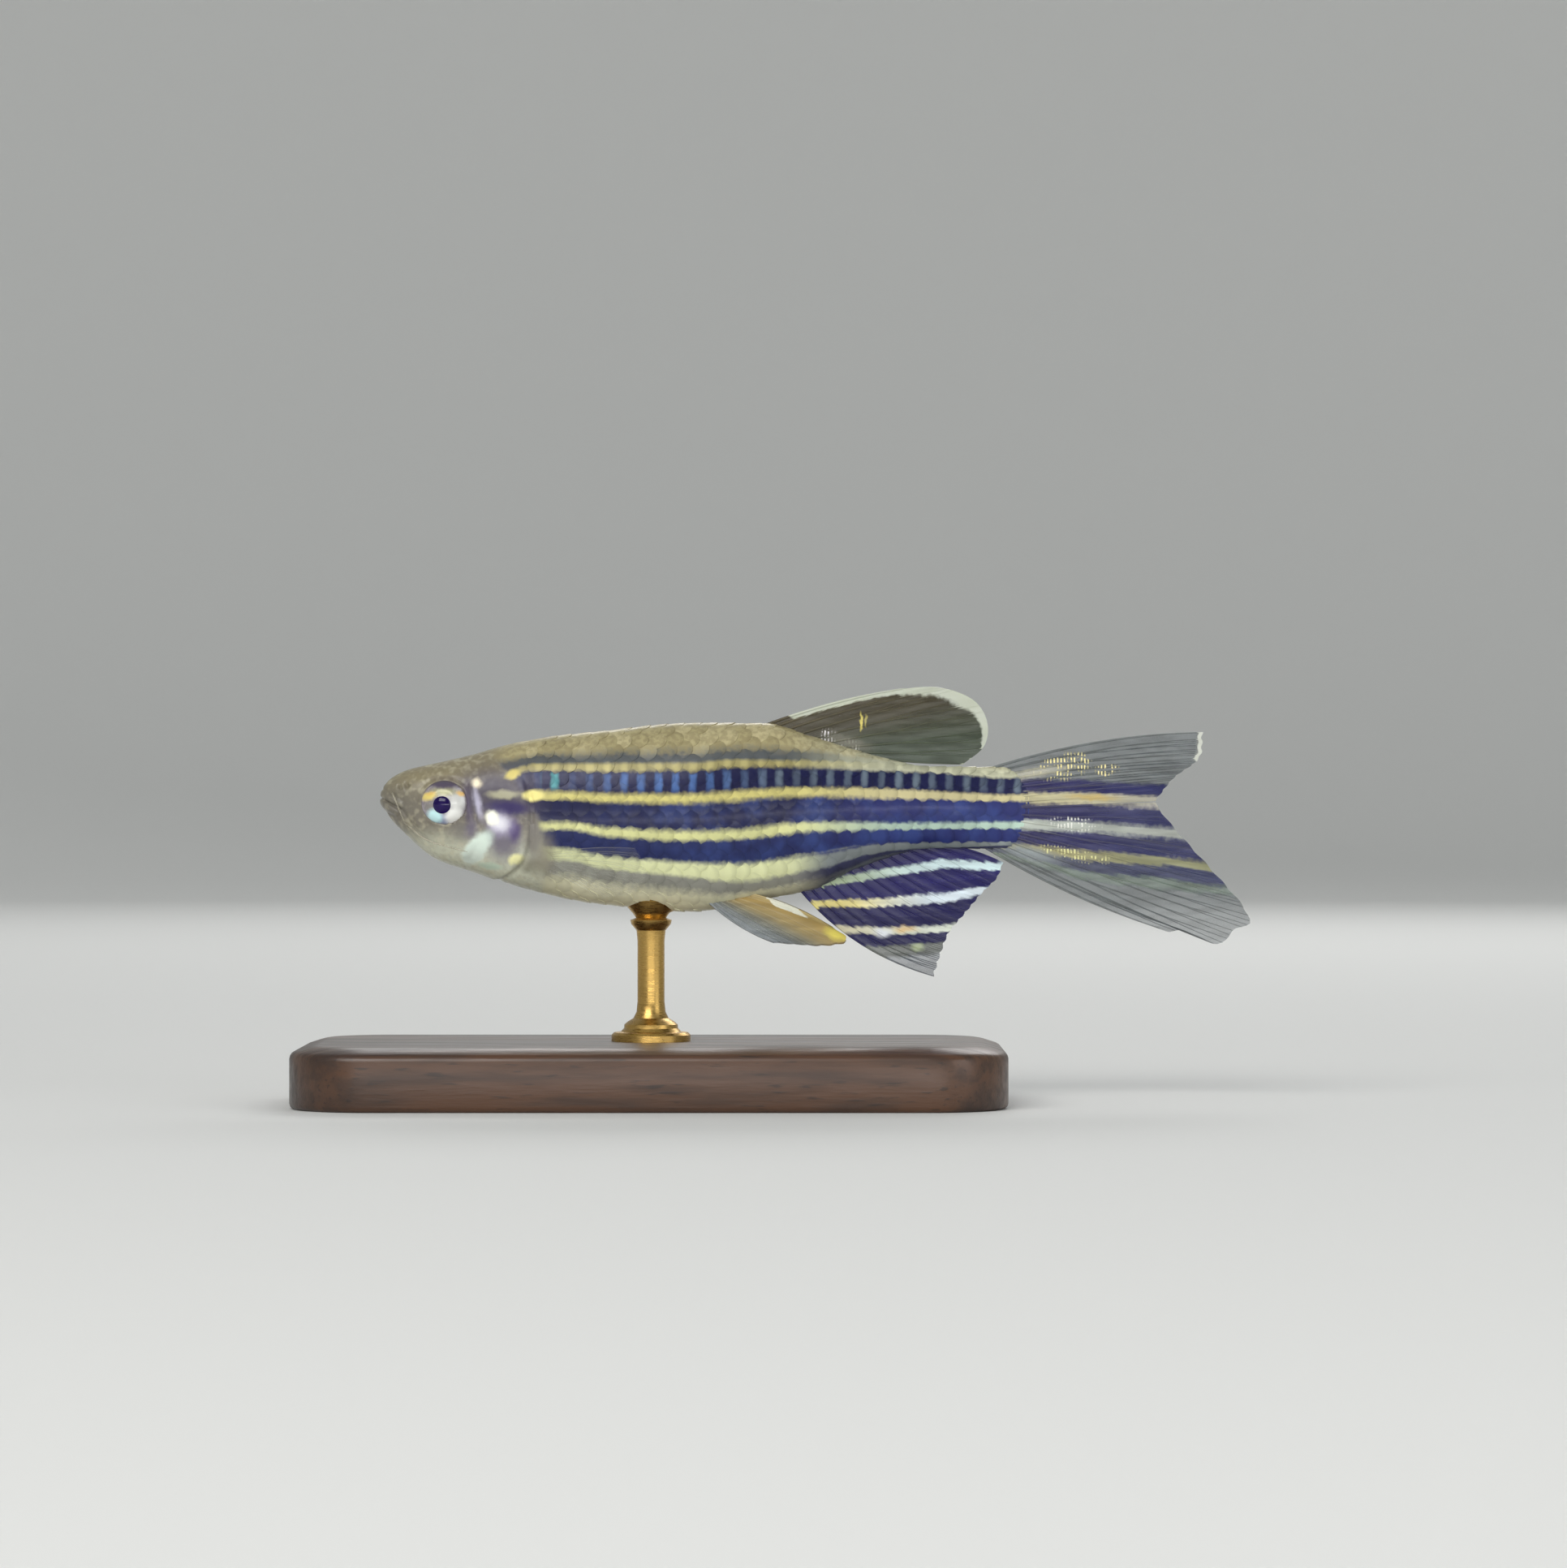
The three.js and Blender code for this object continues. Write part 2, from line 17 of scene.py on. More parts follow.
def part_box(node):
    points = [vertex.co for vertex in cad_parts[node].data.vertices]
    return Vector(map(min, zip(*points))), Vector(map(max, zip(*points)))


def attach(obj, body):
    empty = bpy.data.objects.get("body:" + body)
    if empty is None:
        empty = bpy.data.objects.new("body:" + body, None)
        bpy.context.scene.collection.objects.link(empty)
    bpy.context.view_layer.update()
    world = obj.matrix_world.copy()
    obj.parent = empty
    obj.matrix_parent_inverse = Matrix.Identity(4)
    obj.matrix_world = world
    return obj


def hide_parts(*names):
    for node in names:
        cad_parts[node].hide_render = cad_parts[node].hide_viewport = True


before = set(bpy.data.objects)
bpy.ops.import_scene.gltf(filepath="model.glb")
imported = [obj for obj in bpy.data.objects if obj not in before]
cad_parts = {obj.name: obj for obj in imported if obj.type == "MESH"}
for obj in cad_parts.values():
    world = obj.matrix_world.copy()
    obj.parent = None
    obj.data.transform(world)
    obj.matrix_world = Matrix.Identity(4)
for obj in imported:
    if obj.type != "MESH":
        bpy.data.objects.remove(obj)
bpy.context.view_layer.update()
print("solid model:", len(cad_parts), "nodes")

# %% [markdown]
# ## Where the snout is
# Everything on the fish is measured from the tip of its snout. The solid model has no point of that
# name, but it has an eyeball whose place behind the snout is known, so the snout follows from it.

# %% Find the tip of the snout
MM = 0.001
SOLID_EYE = (3.04, -0.27)

eye_low, eye_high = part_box("eye_left")
eye_centre = (eye_low + eye_high) / 2
SNOUT = Vector((eye_centre.x - SOLID_EYE[0] * MM, 0, eye_centre.z - SOLID_EYE[1] * MM))


def in_metres(points):
    """Turns an array of fish millimetres (..., 3) into world metres."""
    return np.asarray(points) * MM + np.array(SNOUT)


print("snout at", [round(c, 5) for c in SNOUT])

# %% [markdown]
# ## Camera
# The photo looks level at the left side of the fish. A long lens at a distance keeps the sides
# parallel, as a close photo of a small fish with a long lens does. The width of the picture and the
# place of the snout in it set where the camera stands.

# %% Add the camera
PHOTO_WIDTH, PHOTO_HEIGHT = 1931, 1932
MM_A_PIXEL = 0.039
SNOUT_PIXEL = (469, 985)
LENS, SENSOR = 135, 36

middle_x = (PHOTO_WIDTH / 2 - SNOUT_PIXEL[0]) * MM_A_PIXEL
middle_z = (SNOUT_PIXEL[1] - PHOTO_HEIGHT / 2) * MM_A_PIXEL
distance = PHOTO_WIDTH * MM_A_PIXEL * LENS / SENSOR

bpy.ops.object.camera_add(
    location=in_metres((middle_x, -distance, middle_z)), rotation=(math.pi / 2, 0, 0)
)
camera = bpy.context.object
camera.name = "camera"
camera.data.lens = LENS
camera.data.sensor_width = SENSOR
camera.data.clip_start = 0.01
bpy.context.scene.camera = camera
print("camera", round(distance), "mm away")

# %% [markdown]
# ## Tools for every piece
# An operator works on all that is selected, so each piece starts with nothing selected. A finished
# piece rides on the model's one body, takes its finishes, and hides the solids it stands for.

# %% Helpers for selecting and finishing
def deselect_all():
    if bpy.context.object and bpy.context.object.mode != "OBJECT":
        bpy.ops.object.mode_set(mode="OBJECT")
    bpy.ops.object.select_all(action="DESELECT")


def pick(*objects):
    deselect_all()
    for thing in objects:
        thing.select_set(True)
    bpy.context.view_layer.objects.active = objects[0]


def settle(thing):
    """Writes an object's place, turn and size into its mesh."""
    pick(thing)
    bpy.ops.object.transform_apply(location=True, rotation=True, scale=True)


def turn_outwards():
    """Turns every face of the active mesh to look outwards."""
    bpy.ops.object.mode_set(mode="EDIT")
    bpy.ops.mesh.select_all(action="SELECT")
    bpy.ops.mesh.normals_make_consistent(inside=False)
    bpy.ops.object.mode_set(mode="OBJECT")


def finish_piece(thing, name, slot, replaced, *materials):
    thing.name = name
    thing.data.name = name
    thing.data.materials.clear()
    for material in materials:
        thing.data.materials.append(material)
    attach(thing, "root")
    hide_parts(*replaced)
    print(name, len(thing.data.polygons), "faces")


def corners(mesh):
    """All the corners of a mesh as an array of rows."""
    flat = np.empty(len(mesh.vertices) * 3)
    mesh.vertices.foreach_get("co", flat)
    return flat.reshape(-1, 3)


def move_corners(mesh, points):
    mesh.vertices.foreach_set("co", np.asarray(points, float).ravel())
    mesh.update()


# %% [markdown]
# ## Floor and light
# The model stands on a plain pale floor whose rim curves up all round, like a photographer's paper,
# so no horizon cuts across the fish from any side. A large soft light above the left of the camera
# makes the long highlight on the flank, a low one in front lights the belly, a weaker one fills the
# other side, and one behind draws the edge of the back and shines through the clear fins.

# %% Make the floor and the lights
FLOOR_RADIUS, RIM_RADIUS, WALL_TOP = 0.5, 0.25, 0.75


def plain_material(name, colour, roughness):
    made = bpy.data.materials.new(name)
    made.use_nodes = True
    shader = made.node_tree.nodes["Principled BSDF"]
    shader.inputs["Base Color"].default_value = (*colour, 1)
    shader.inputs["Roughness"].default_value = roughness
    return made


deselect_all()
bpy.ops.mesh.primitive_circle_add(vertices=96, radius=FLOOR_RADIUS, fill_type="NGON")
floor = bpy.context.object
floor.name = "floor"
bpy.ops.object.mode_set(mode="EDIT")
bpy.ops.mesh.select_mode(type="EDGE")
bpy.ops.mesh.select_all(action="SELECT")
bpy.ops.mesh.region_to_loop()
RIM_STEPS = 12
reach, rise = FLOOR_RADIUS, 0.0
for step in range(1, RIM_STEPS + 2):
    angle = min(step / RIM_STEPS, 1) * math.pi / 2
    wide = FLOOR_RADIUS + RIM_RADIUS * math.sin(angle)
    high = RIM_RADIUS * (1 - math.cos(angle)) if step <= RIM_STEPS else WALL_TOP
    bpy.ops.mesh.extrude_edges_move(TRANSFORM_OT_translate={"value": (0, 0, high - rise)})
    bpy.ops.transform.resize(value=(wide / reach, wide / reach, 1))
    reach, rise = wide, high
bpy.ops.object.mode_set(mode="OBJECT")
bpy.ops.object.shade_smooth()
floor.data.materials.append(plain_material("pale_paper", (0.78, 0.78, 0.76), 0.8))


def soft_light(name, place, size, power, tint=(1, 1, 1)):
    bpy.ops.object.light_add(type="AREA", location=place)
    light = bpy.context.object
    light.name = name
    light.data.shape = "RECTANGLE"
    light.data.size, light.data.size_y = size
    light.data.energy = power
    light.data.color = tint
    towards = Vector((0.005, 0, SNOUT.z)) - light.location
    light.rotation_euler = towards.to_track_quat("-Z", "Y").to_euler()


soft_light("key_light", (-0.16, -0.36, 0.28), (0.34, 0.20), 1.15, (1, 0.99, 0.97))
soft_light("front_light", (0.02, -0.36, 0.012), (0.40, 0.02), 0.22)
soft_light("side_light", (0.36, -0.26, 0.12), (0.24, 0.24), 0.3, (0.94, 0.97, 1))
soft_light("back_light", (0.10, 0.36, 0.26), (0.34, 0.16), 0.55)

world = bpy.data.worlds.new("studio")
world.use_nodes = True
world.node_tree.nodes["Background"].inputs["Color"].default_value = (0.92, 0.96, 1, 1)
world.node_tree.nodes["Background"].inputs["Strength"].default_value = 0.4
bpy.context.scene.world = world
bpy.context.scene.view_settings.view_transform = "Standard"
print("floor and four soft lights")

# %% [markdown]
# ## The shape of the body
# A boat builder draws a hull by its stations. So does this fish: at fourteen places from the snout
# to the tail root, the heights of the back and the belly, the half width, and the height where it is
# widest are measured, and a smooth curve that never swings past its points joins them.
# Run on the square root of the distance, the curves make the snout round.

# %% Curves of the body
STATIONS = np.array([
    # x, back, belly, half width, widest height
    (0, 0, 0, 0, 0),
    (0.2, 0.68, -0.5, 0.62, 0.05),
    (1.2, 1.38, -1.64, 1.22, -0.1),
    (2.7, 1.75, -2.87, 1.66, -0.3),
    (4.3, 2.12, -3.43, 1.95, -0.55),
    (5.9, 2.58, -3.95, 2.14, -0.75),
    (7.6, 2.95, -4.48, 2.28, -0.9),
    (11, 3.33, -5.08, 2.45, -1.0),
    (15, 3.68, -5.38, 2.35, -0.95),
    (18.4, 3.67, -4.78, 1.98, -0.7),
    (20.7, 3.05, -4.35, 1.65, -0.55),
    (23, 2.33, -3.28, 1.36, -0.45),
    (26.5, 1.6, -2.36, 0.98, -0.38),
    (30, 1.57, -2.4, 0.62, -0.4),
])
BODY_LENGTH = 30.0
TAIL_SWING, SWING_START = 0.9, 10.0


def smooth_through(at, value):
    """A curve through points that doesn't swing past them."""
    at, value = np.asarray(at, float), np.asarray(value, float)
    slope = np.diff(value) / np.diff(at)
    before, after = np.r_[slope[0], slope], np.r_[slope, slope[-1]]
    both = before * after
    tangent = np.where(both > 0, 2 * both / np.where(both > 0, before + after, 1), 0)

    def curve(places):
        s = np.clip(places, at[0], at[-1])
        i = np.clip(np.searchsorted(at, s, side="right"), 1, len(at) - 1)
        width = at[i] - at[i - 1]
        t = (s - at[i - 1]) / width
        ends = value[i - 1] * (1 + 2 * t) * (1 - t) ** 2 + value[i] * t * t * (3 - 2 * t)
        return ends + width * t * (1 - t) * (tangent[i - 1] * (1 - t) - tangent[i] * t)

    return curve


def outline(column):
    curve = smooth_through(np.sqrt(STATIONS[:, 0]), STATIONS[:, column])
    return lambda x: curve(np.sqrt(np.maximum(x, 0)))


back, belly, half, mid = (outline(column) for column in (1, 2, 3, 4))


def smoothstep(low, high, value):
    t = np.clip((np.asarray(value, float) - low) / (high - low), 0, 1)
    return t * t * (3 - 2 * t)


def squareness(x):
    return 2.3 - 0.25 * smoothstep(4, 14, x)


def sway(x):
    """How far the spine lies to the fish's right."""
    return TAIL_SWING * (np.maximum(x - SWING_START, 0) / (BODY_LENGTH - SWING_START)) ** 2


def half_at(x, z):
    """Half the width of the body at a height."""
    reach = np.where(z > mid(x), back(x) - mid(x), mid(x) - belly(x))
    share = np.minimum(np.abs(z - mid(x)) / reach, 1)
    return half(x) * (1 - share ** squareness(x)) ** (1 / squareness(x))


print("widest", round(2 * float(half(11)), 2), "mm, deepest", round(float(back(15) - belly(15)), 2), "mm")

# %% [markdown]
# ## A point on the skin
# Any place on the body is a distance from the snout and an angle round the body: 0 is the back, a
# quarter turn the left side, half a turn the belly. The tail end narrows to a thin rounded edge, and
# the rays of the tail fin grow out from its sides.

# %% Points on the skin
SKIN_END = 31.2
THINS_FROM, ROUNDS_FROM = 27.5, 29.8


def skin_point(x, angle, lift=0.0):
    """The place on the body at x and an angle, lifted off it by a distance."""
    power = 2 / squareness(x)
    up = np.sign(np.cos(angle)) * np.abs(np.cos(angle)) ** power
    out = np.sign(np.sin(angle)) * np.abs(np.sin(angle)) ** power
    narrow = 1 - 0.97 * np.clip((x - THINS_FROM) / (SKIN_END - THINS_FROM), 0, 1) ** 1.7
    low = np.sqrt(1 - 0.9 * np.clip((x - ROUNDS_FROM) / (SKIN_END - ROUNDS_FROM), 0, 1) ** 2)
    reach = np.where(up > 0, back(x) - mid(x), mid(x) - belly(x)) * low
    y = sway(x) - (half(x) * narrow + lift) * out
    z = mid(x) + (reach + lift) * up
    return np.stack([x + 0 * z, y, z], -1)


# %% [markdown]
# ## The skin
# The skin is one closed surface from snout to tail, so that no seam shows. It could be sculpted from
# a ball, but the stations already say where every ring lies. So a disc is extruded again and again
# into a plain tube of rings, and each ring is then laid on the stations. The rings are closest on
# the head, where the small forms are.

# %% Extrude a tube of rings
AROUND = 144
COAT_DEPTH, COAT_DEEPENS = 0.05, (6.4, 7.8)
HEAD_END = 7.7
HEAD_STEP, BODY_STEP = 0.014, 0.05

head_rings = np.arange(HEAD_STEP * 2, math.sqrt(HEAD_END), HEAD_STEP)
body_rings = np.arange(math.sqrt(HEAD_END), math.sqrt(SKIN_END), BODY_STEP)
ring_places = np.r_[head_rings, body_rings, math.sqrt(SKIN_END)] ** 2

deselect_all()
bpy.ops.mesh.primitive_circle_add(
    vertices=AROUND, radius=1, fill_type="TRIFAN", location=(0, 0, 0), rotation=(0, math.pi / 2, 0)
)
skin = bpy.context.object
bpy.ops.object.transform_apply(rotation=True)
bpy.ops.object.mode_set(mode="EDIT")
bpy.ops.mesh.select_mode(type="FACE")
bpy.ops.mesh.select_all(action="SELECT")
for _ in ring_places[1:]:
    bpy.ops.mesh.extrude_region_move(TRANSFORM_OT_translate={"value": (1, 0, 0)})
turn_outwards()
print("tube of", len(ring_places), "rings,", len(skin.data.vertices), "corners")

# %% [markdown]
# ## Forms of the head
# The small forms of the head are pushed in and out of the skin along its own normal: the eye socket
# and its rim, the slanting mouth with its lips, two nostrils, the cheek's edge and the gill cover
# with its free edge. Each is a line or a circle seen from the side, with ridges and grooves whose
# height depends on the distance from it, so one short function does for all.

# %% Lines and distances on the side of the head
EYE = {
    "x": 3.18, "z": -0.17, "radius": 1.22, "tall": 1.1, "half_depth": 0.66, "proud": 0.33, "turn": -0.2,
}
MOUTH = [(-0.3, 0.24), (1.1, -0.5)]
JAW_FOLD = [(1.1, -0.5), (1.55, -1.15), (2.15, -1.85), (2.7, -2.55)]
NOSTRILS = [(1.0, 0.62, 0.1), (1.33, 0.68, 0.13)]  # middle x and z, width
CHEEK_EDGE = [(4.3, 1.0), (4.42, 0.1), (4.62, -1.0), (4.72, -1.9), (4.4, -2.7), (3.5, -3.05)]
GILL_EDGE = [
    (5.9, 1.6), (6.6, 1.3), (7.05, 0.6), (7.28, -0.5), (7.25, -1.8), (6.95, -2.8), (6.3, -3.5),
    (5.4, -3.85), (4.3, -3.75),
]


def from_line(points, x, z):
    """Signed distance from a line (positive to its right going along it) and the share along it."""
    fine = np.array(points, float)
    lengths = np.hypot(*np.diff(fine, axis=0).T)
    run = np.r_[0, np.cumsum(lengths)]
    nearest = np.full(np.shape(x), np.inf)
    side, share = np.zeros(np.shape(x)), np.zeros(np.shape(x))
    for i, (start, end) in enumerate(zip(fine[:-1], fine[1:])):
        along = (end - start) / lengths[i]
        dx, dz = x - start[0], z - start[1]
        t = np.clip(dx * along[0] + dz * along[1], 0, lengths[i])
        away = np.hypot(dx - t * along[0], dz - t * along[1])
        closer = away < nearest
        nearest = np.where(closer, away, nearest)
        side = np.where(closer, np.sign(dx * along[1] - dz * along[0] + 1e-9), side)
        share = np.where(closer, (run[i] + t) / run[-1], share)
    return nearest * side, share


def smooth_line(points, count=60):
    """The same line with its corners rounded."""
    knots = np.linspace(0, 1, len(points))
    fine = np.linspace(0, 1, count)
    bend = [smooth_through(knots, [p[i] for p in points])(fine) for i in (0, 1)]
    return np.stack(bend, -1)


def bump(distance, width):
    return np.exp(-((distance / width) ** 2))


# %% Heights of the head's forms
# Each form beside a line, or round a centre: its distance from it, its width, and its height, where
# a ridge is positive and a groove negative.
EYE_RIM, BROW_FOLD = [(1.17, 0.09, 0.03)], [(1.4, 0.1, -0.025)]
CLEFT = [(0, 0.055, -0.18)]
LIPS = [(-0.2, 0.13, 0.07), (0.21, 0.14, 0.09)]
LIP_FOLDS = [(-0.43, 0.07, -0.04), (0.47, 0.08, -0.04)]
JAW_GROOVE = [(0, 0.09, -0.07)]
NOSTRIL_DEPTH = -0.16
NOSTRIL_FLAP = [(0, 0.07, 0.06)]
CHEEK_FORMS = [(0.16, 0.18, 0.06), (-0.06, 0.07, -0.07)]
GILL_SLIT = [(-0.08, 0.1, -0.08)]
GILL_PLATE_DIP = [(0, 0.5, -0.035)]
SOCKET_DEPTH, SOCKET_EDGE = 0.5, 0.99
COVER_RISE = 0.1


def ridges(away, forms):
    return sum(height * bump(away - place, width) for place, width, height in forms)


def head_relief(x, z):
    """How far the skin of the head stands out (+) or sinks (-), in millimetres."""
    from_eye = np.hypot(x - EYE["x"], (z - EYE["z"]) * EYE["radius"] / EYE["tall"])
    above_eye = smoothstep(-0.2, 0.6, z - EYE["z"])
    socket = -SOCKET_DEPTH * (1 - smoothstep(SOCKET_EDGE, 1.08, from_eye))
    forms = ridges(from_eye, EYE_RIM) + ridges(from_eye, BROW_FOLD) * above_eye

    mouth, share = from_line(MOUTH, x, z)
    in_mouth = smoothstep(1.0, 0.9, share) * smoothstep(1.5, 1.0, x)
    beside_tip = smoothstep(0, 0.5, x)
    forms += ridges(mouth, CLEFT) * in_mouth * (0.4 + 0.6 * beside_tip)
    forms += ridges(mouth, LIPS) * in_mouth * (0.25 + 0.75 * beside_tip)
    forms += ridges(mouth, LIP_FOLDS) * in_mouth
    fold, fold_share = from_line(smooth_line(JAW_FOLD), x, z)
    forms += ridges(fold, JAW_GROOVE) * smoothstep(1, 0.6, fold_share)

    for centre_x, centre_z, width in NOSTRILS:
        forms += ridges(np.hypot(x - centre_x, z - centre_z), [(0, width, NOSTRIL_DEPTH)])
    forms += ridges(np.hypot(x - 1.17, (z - 0.66) * 0.7), NOSTRIL_FLAP)

    cheek, cheek_share = from_line(smooth_line(CHEEK_EDGE), x, z)
    fading = smoothstep(0, 0.12, cheek_share) * smoothstep(1, 0.8, cheek_share)
    fading *= 1 - 0.8 * smoothstep(0.4, 0.55, cheek_share)
    forms += ridges(cheek, CHEEK_FORMS) * fading

    gill, gill_share = from_line(smooth_line(GILL_EDGE), x, z)
    opened = smoothstep(0.12, 0.36, gill_share) * smoothstep(1, 0.7, gill_share)
    cover = COVER_RISE * smoothstep(-0.03, 0.05, gill) * smoothstep(2.0, 0.3, gill)
    forms += (cover + ridges(gill, GILL_SLIT)) * opened
    forms += ridges(np.hypot((x - 5.9) / 1.3, (z + 0.9) / 1.6), GILL_PLATE_DIP)
    return socket + forms * smoothstep(SOCKET_EDGE, 1.1, from_eye)


# %% Lay the rings on the body and push out the forms
plain = corners(skin.data)
ring_number = np.rint(plain[:, 0]).astype(int)
on_rim = np.hypot(plain[:, 1], plain[:, 2]) > 0.5
skin_x = ring_places[ring_number]
skin_angle = np.arctan2(-plain[:, 1], plain[:, 2]) % (2 * np.pi)

NEAR = 0.004


def skin_normal(x, angle):
    s = np.sqrt(x)
    along = skin_point((s + NEAR) ** 2, angle) - skin_point(np.maximum(s - NEAR, 0.001) ** 2, angle)
    round_it = skin_point(x, angle + NEAR) - skin_point(x, angle - NEAR)
    out = np.cross(round_it, along)
    return out / np.maximum(np.linalg.norm(out, axis=-1, keepdims=True), 1e-12)


under_coat = COAT_DEPTH * smoothstep(*COAT_DEEPENS, skin_x)
placed = skin_point(skin_x, skin_angle, -under_coat)
relief = head_relief(placed[:, 0], placed[:, 2]) * (skin_x < HEAD_END + 1)
placed += skin_normal(skin_x, skin_angle) * relief[:, None]
first, last = skin_point(ring_places[[0, -1]], np.pi / 2)
placed[~on_rim & (ring_number == 0)] = (0, 0, first[2])
placed[~on_rim & (ring_number > 0)] = (last[0] + 0.02, sway(last[0]), last[2])
move_corners(skin.data, in_metres(placed))

pick(skin)
turn_outwards()
bpy.ops.object.shade_smooth()
print("skin from", placed[:, 0].min().round(2), "to", placed[:, 0].max().round(2), "mm")

# %% [markdown]
# ## Where the stripes run
# Between the back and the belly of a zebra danio run nine lines, gold and dark by turns. Their heights
# are measured at nine places along the fish and joined by smooth curves. A point between two lines
# gets a number between theirs. That number is stored on the skin and on each scale as a map called
# Markings, so that both wear the same stripes. A second map, OFBake, unrolls the skin into a
# flat sheet, for a painter who wants the finish as an image later.

# %% The stripe number of a place on the body
LINE_PLACES = [6.2, 7.5, 9, 11, 15, 17, 20.7, 24.6, 29.7]
LINE_HEIGHTS = {
    "dusk line": [1.72, 1.99, 2.03, 2.07, 2.07, 2.22, 2.15, 1.84, 1.44],
    "gold line": [1.20, 1.60, 1.56, 1.56, 1.60, 1.75, 1.72, 1.68, 1.28],
    "blue 1": [0.70, 0.98, 0.95, 0.85, 0.88, 1.02, 1.10, 0.98, 0.70],
    "gold 1": [0.22, 0.20, 0.16, 0.05, 0.05, 0.20, 0.38, 0.27, 0.06],
    "blue 2": [-0.30, -0.43, -0.50, -0.72, -0.85, -0.72, -0.50, -0.55, -0.55],
    "gold 2": [-1.25, -1.29, -1.25, -1.56, -1.75, -1.70, -1.29, -1.30, -1.26],
    "blue 3": [-1.85, -1.91, -1.90, -2.26, -2.48, -2.46, -2.10, -1.83, -1.80],
    "gold 3": [-2.40, -2.45, -2.57, -3.00, -3.31, -3.39, -2.92, -2.20, -2.12],
    "dusk 4": [-3.05, -3.10, -3.10, -3.51, -3.94, -4.25, -3.55, -2.50, -2.28],
}
LINES = len(LINE_HEIGHTS) + 1
line_curves = [smooth_through(LINE_PLACES, heights) for heights in LINE_HEIGHTS.values()]


def number_between(value, edges):
    """Where a value lies between rising edges: 0 at the first, 1 at the second, and so on."""
    number = np.zeros(np.shape(value))
    for i, (low, high) in enumerate(zip(edges[:-1], edges[1:])):
        number = np.where(value >= low, i + np.clip((value - low) / (high - low), 0, 1), number)
    return number


def stripe_number(x, z):
    """0 on the back, 0.1 on the first line, and so on to 1 on the belly."""
    edges = [-back(x), *(-curve(x) for curve in line_curves), -belly(x)]
    return number_between(-z, edges) / LINES


# Height, and the distance from the snout where the stripes begin there.
STRIPES_FROM = [
    (3.6, 5.4), (1.6, 5.9), (0.9, 6.55), (0.2, 6.9), (-0.35, 7.35), (-1, 7.75), (-3, 8.1), (-6, 7.6),
]


def head_share(x, z):
    """1 on the head, 0 where the stripes of the body have begun."""
    heights, starts = zip(*STRIPES_FROM[::-1])
    start = np.interp(z, heights, starts)
    nape = 1.1 * smoothstep(1.7, 2.6, z)
    return 1 - smoothstep(start - 0.25 - nape, start + 0.15 + nape, x)


# %% Write the maps on the skin
def add_map(mesh, name, across, up):
    layer = mesh.uv_layers.new(name=name)
    layer.data.foreach_set("uv", np.stack([across, up], -1).astype(np.float32).ravel())


def add_value(mesh, name, values):
    layer = mesh.attributes.new(name=name, type="FLOAT", domain="POINT")
    layer.data.foreach_set("value", np.broadcast_to(values, len(mesh.vertices)).astype(np.float32))


def loop_corners(mesh):
    numbers = np.empty(len(mesh.loops), int)
    mesh.loops.foreach_get("vertex_index", numbers)
    return numbers


SHEET_LENGTH = 31.5
SHEET_EDGE = 0.99

loops = loop_corners(skin.data)
loop_face = np.repeat(
    np.arange(len(skin.data.polygons)), [len(face.vertices) for face in skin.data.polygons]
)
turn_share = skin_angle[loops] / (2 * np.pi)
turn_share[~on_rim[loops]] = np.nan
faces_low = np.full(len(skin.data.polygons), 2.0)
faces_high = np.full(len(skin.data.polygons), -1.0)
known = ~np.isnan(turn_share)
np.minimum.at(faces_low, loop_face[known], turn_share[known])
np.maximum.at(faces_high, loop_face[known], turn_share[known])
low, high = faces_low[loop_face], faces_high[loop_face]
wraps = high - low > 0.5
turn_share = np.where(wraps & (turn_share < 0.5), turn_share + 1, turn_share)
turn_share = np.where(known, turn_share, np.where(wraps, low + 1 + high, low + high) / 2)

skin.data.uv_layers[0].name = "OFBake"
unrolled = np.stack([skin_x[loops] / SHEET_LENGTH, turn_share * SHEET_EDGE], -1)
skin.data.uv_layers["OFBake"].data.foreach_set("uv", unrolled.astype(np.float32).ravel())
marks = stripe_number(placed[:, 0], placed[:, 2])
add_map(skin.data, "Markings", placed[loops, 0] / SHEET_LENGTH, marks[loops])
add_value(skin.data, "Head share", head_share(placed[:, 0], placed[:, 2]))
add_value(skin.data, "Scale draw", 0.5)
add_value(skin.data, "Scale share", 0.5)
print("stripe numbers from", marks.min().round(2), "to", marks.max().round(2))

# %% [markdown]
# ## Tools for finishes
# A finish is built from nodes. These helpers add a node and wire it in one line. Colours are given
# as a painter reads them from a chart, from 0 to 255, and turned into the light values that the
# shader needs.

# %% Helpers for materials
def shade(red, green, blue):
    """A chart colour as a shader colour."""
    def light(c):
        c /= 255
        return c / 12.92 if c <= 0.04045 else ((c + 0.055) / 1.055) ** 2.4
    return (light(red), light(green), light(blue), 1)


def start_material(name, **constants):
    """A new finish, its node tree, its shader and the place on the object that its patterns follow."""
    made = bpy.data.materials.new(name)
    made.use_nodes = True
    tree = made.node_tree
    shader = tree.nodes["Principled BSDF"]
    for socket, value in constants.items():
        shader.inputs[socket.replace("_", " ")].default_value = value
    return made, tree, shader, tree.nodes.new("ShaderNodeTexCoord").outputs["Object"]


def wire(tree, source, target):
    """Sets a socket to a value, or links it to another socket."""
    if isinstance(source, bpy.types.NodeSocket):
        tree.links.new(source, target)
    else:
        target.default_value = source


def node(tree, kind, settings=None, **inputs):
    made = tree.nodes.new("ShaderNode" + kind)
    for name, value in (settings or {}).items():
        setattr(made, name, value)
    for name, value in inputs.items():
        wire(tree, value, made.inputs[name.replace("_", " ")])
    return made


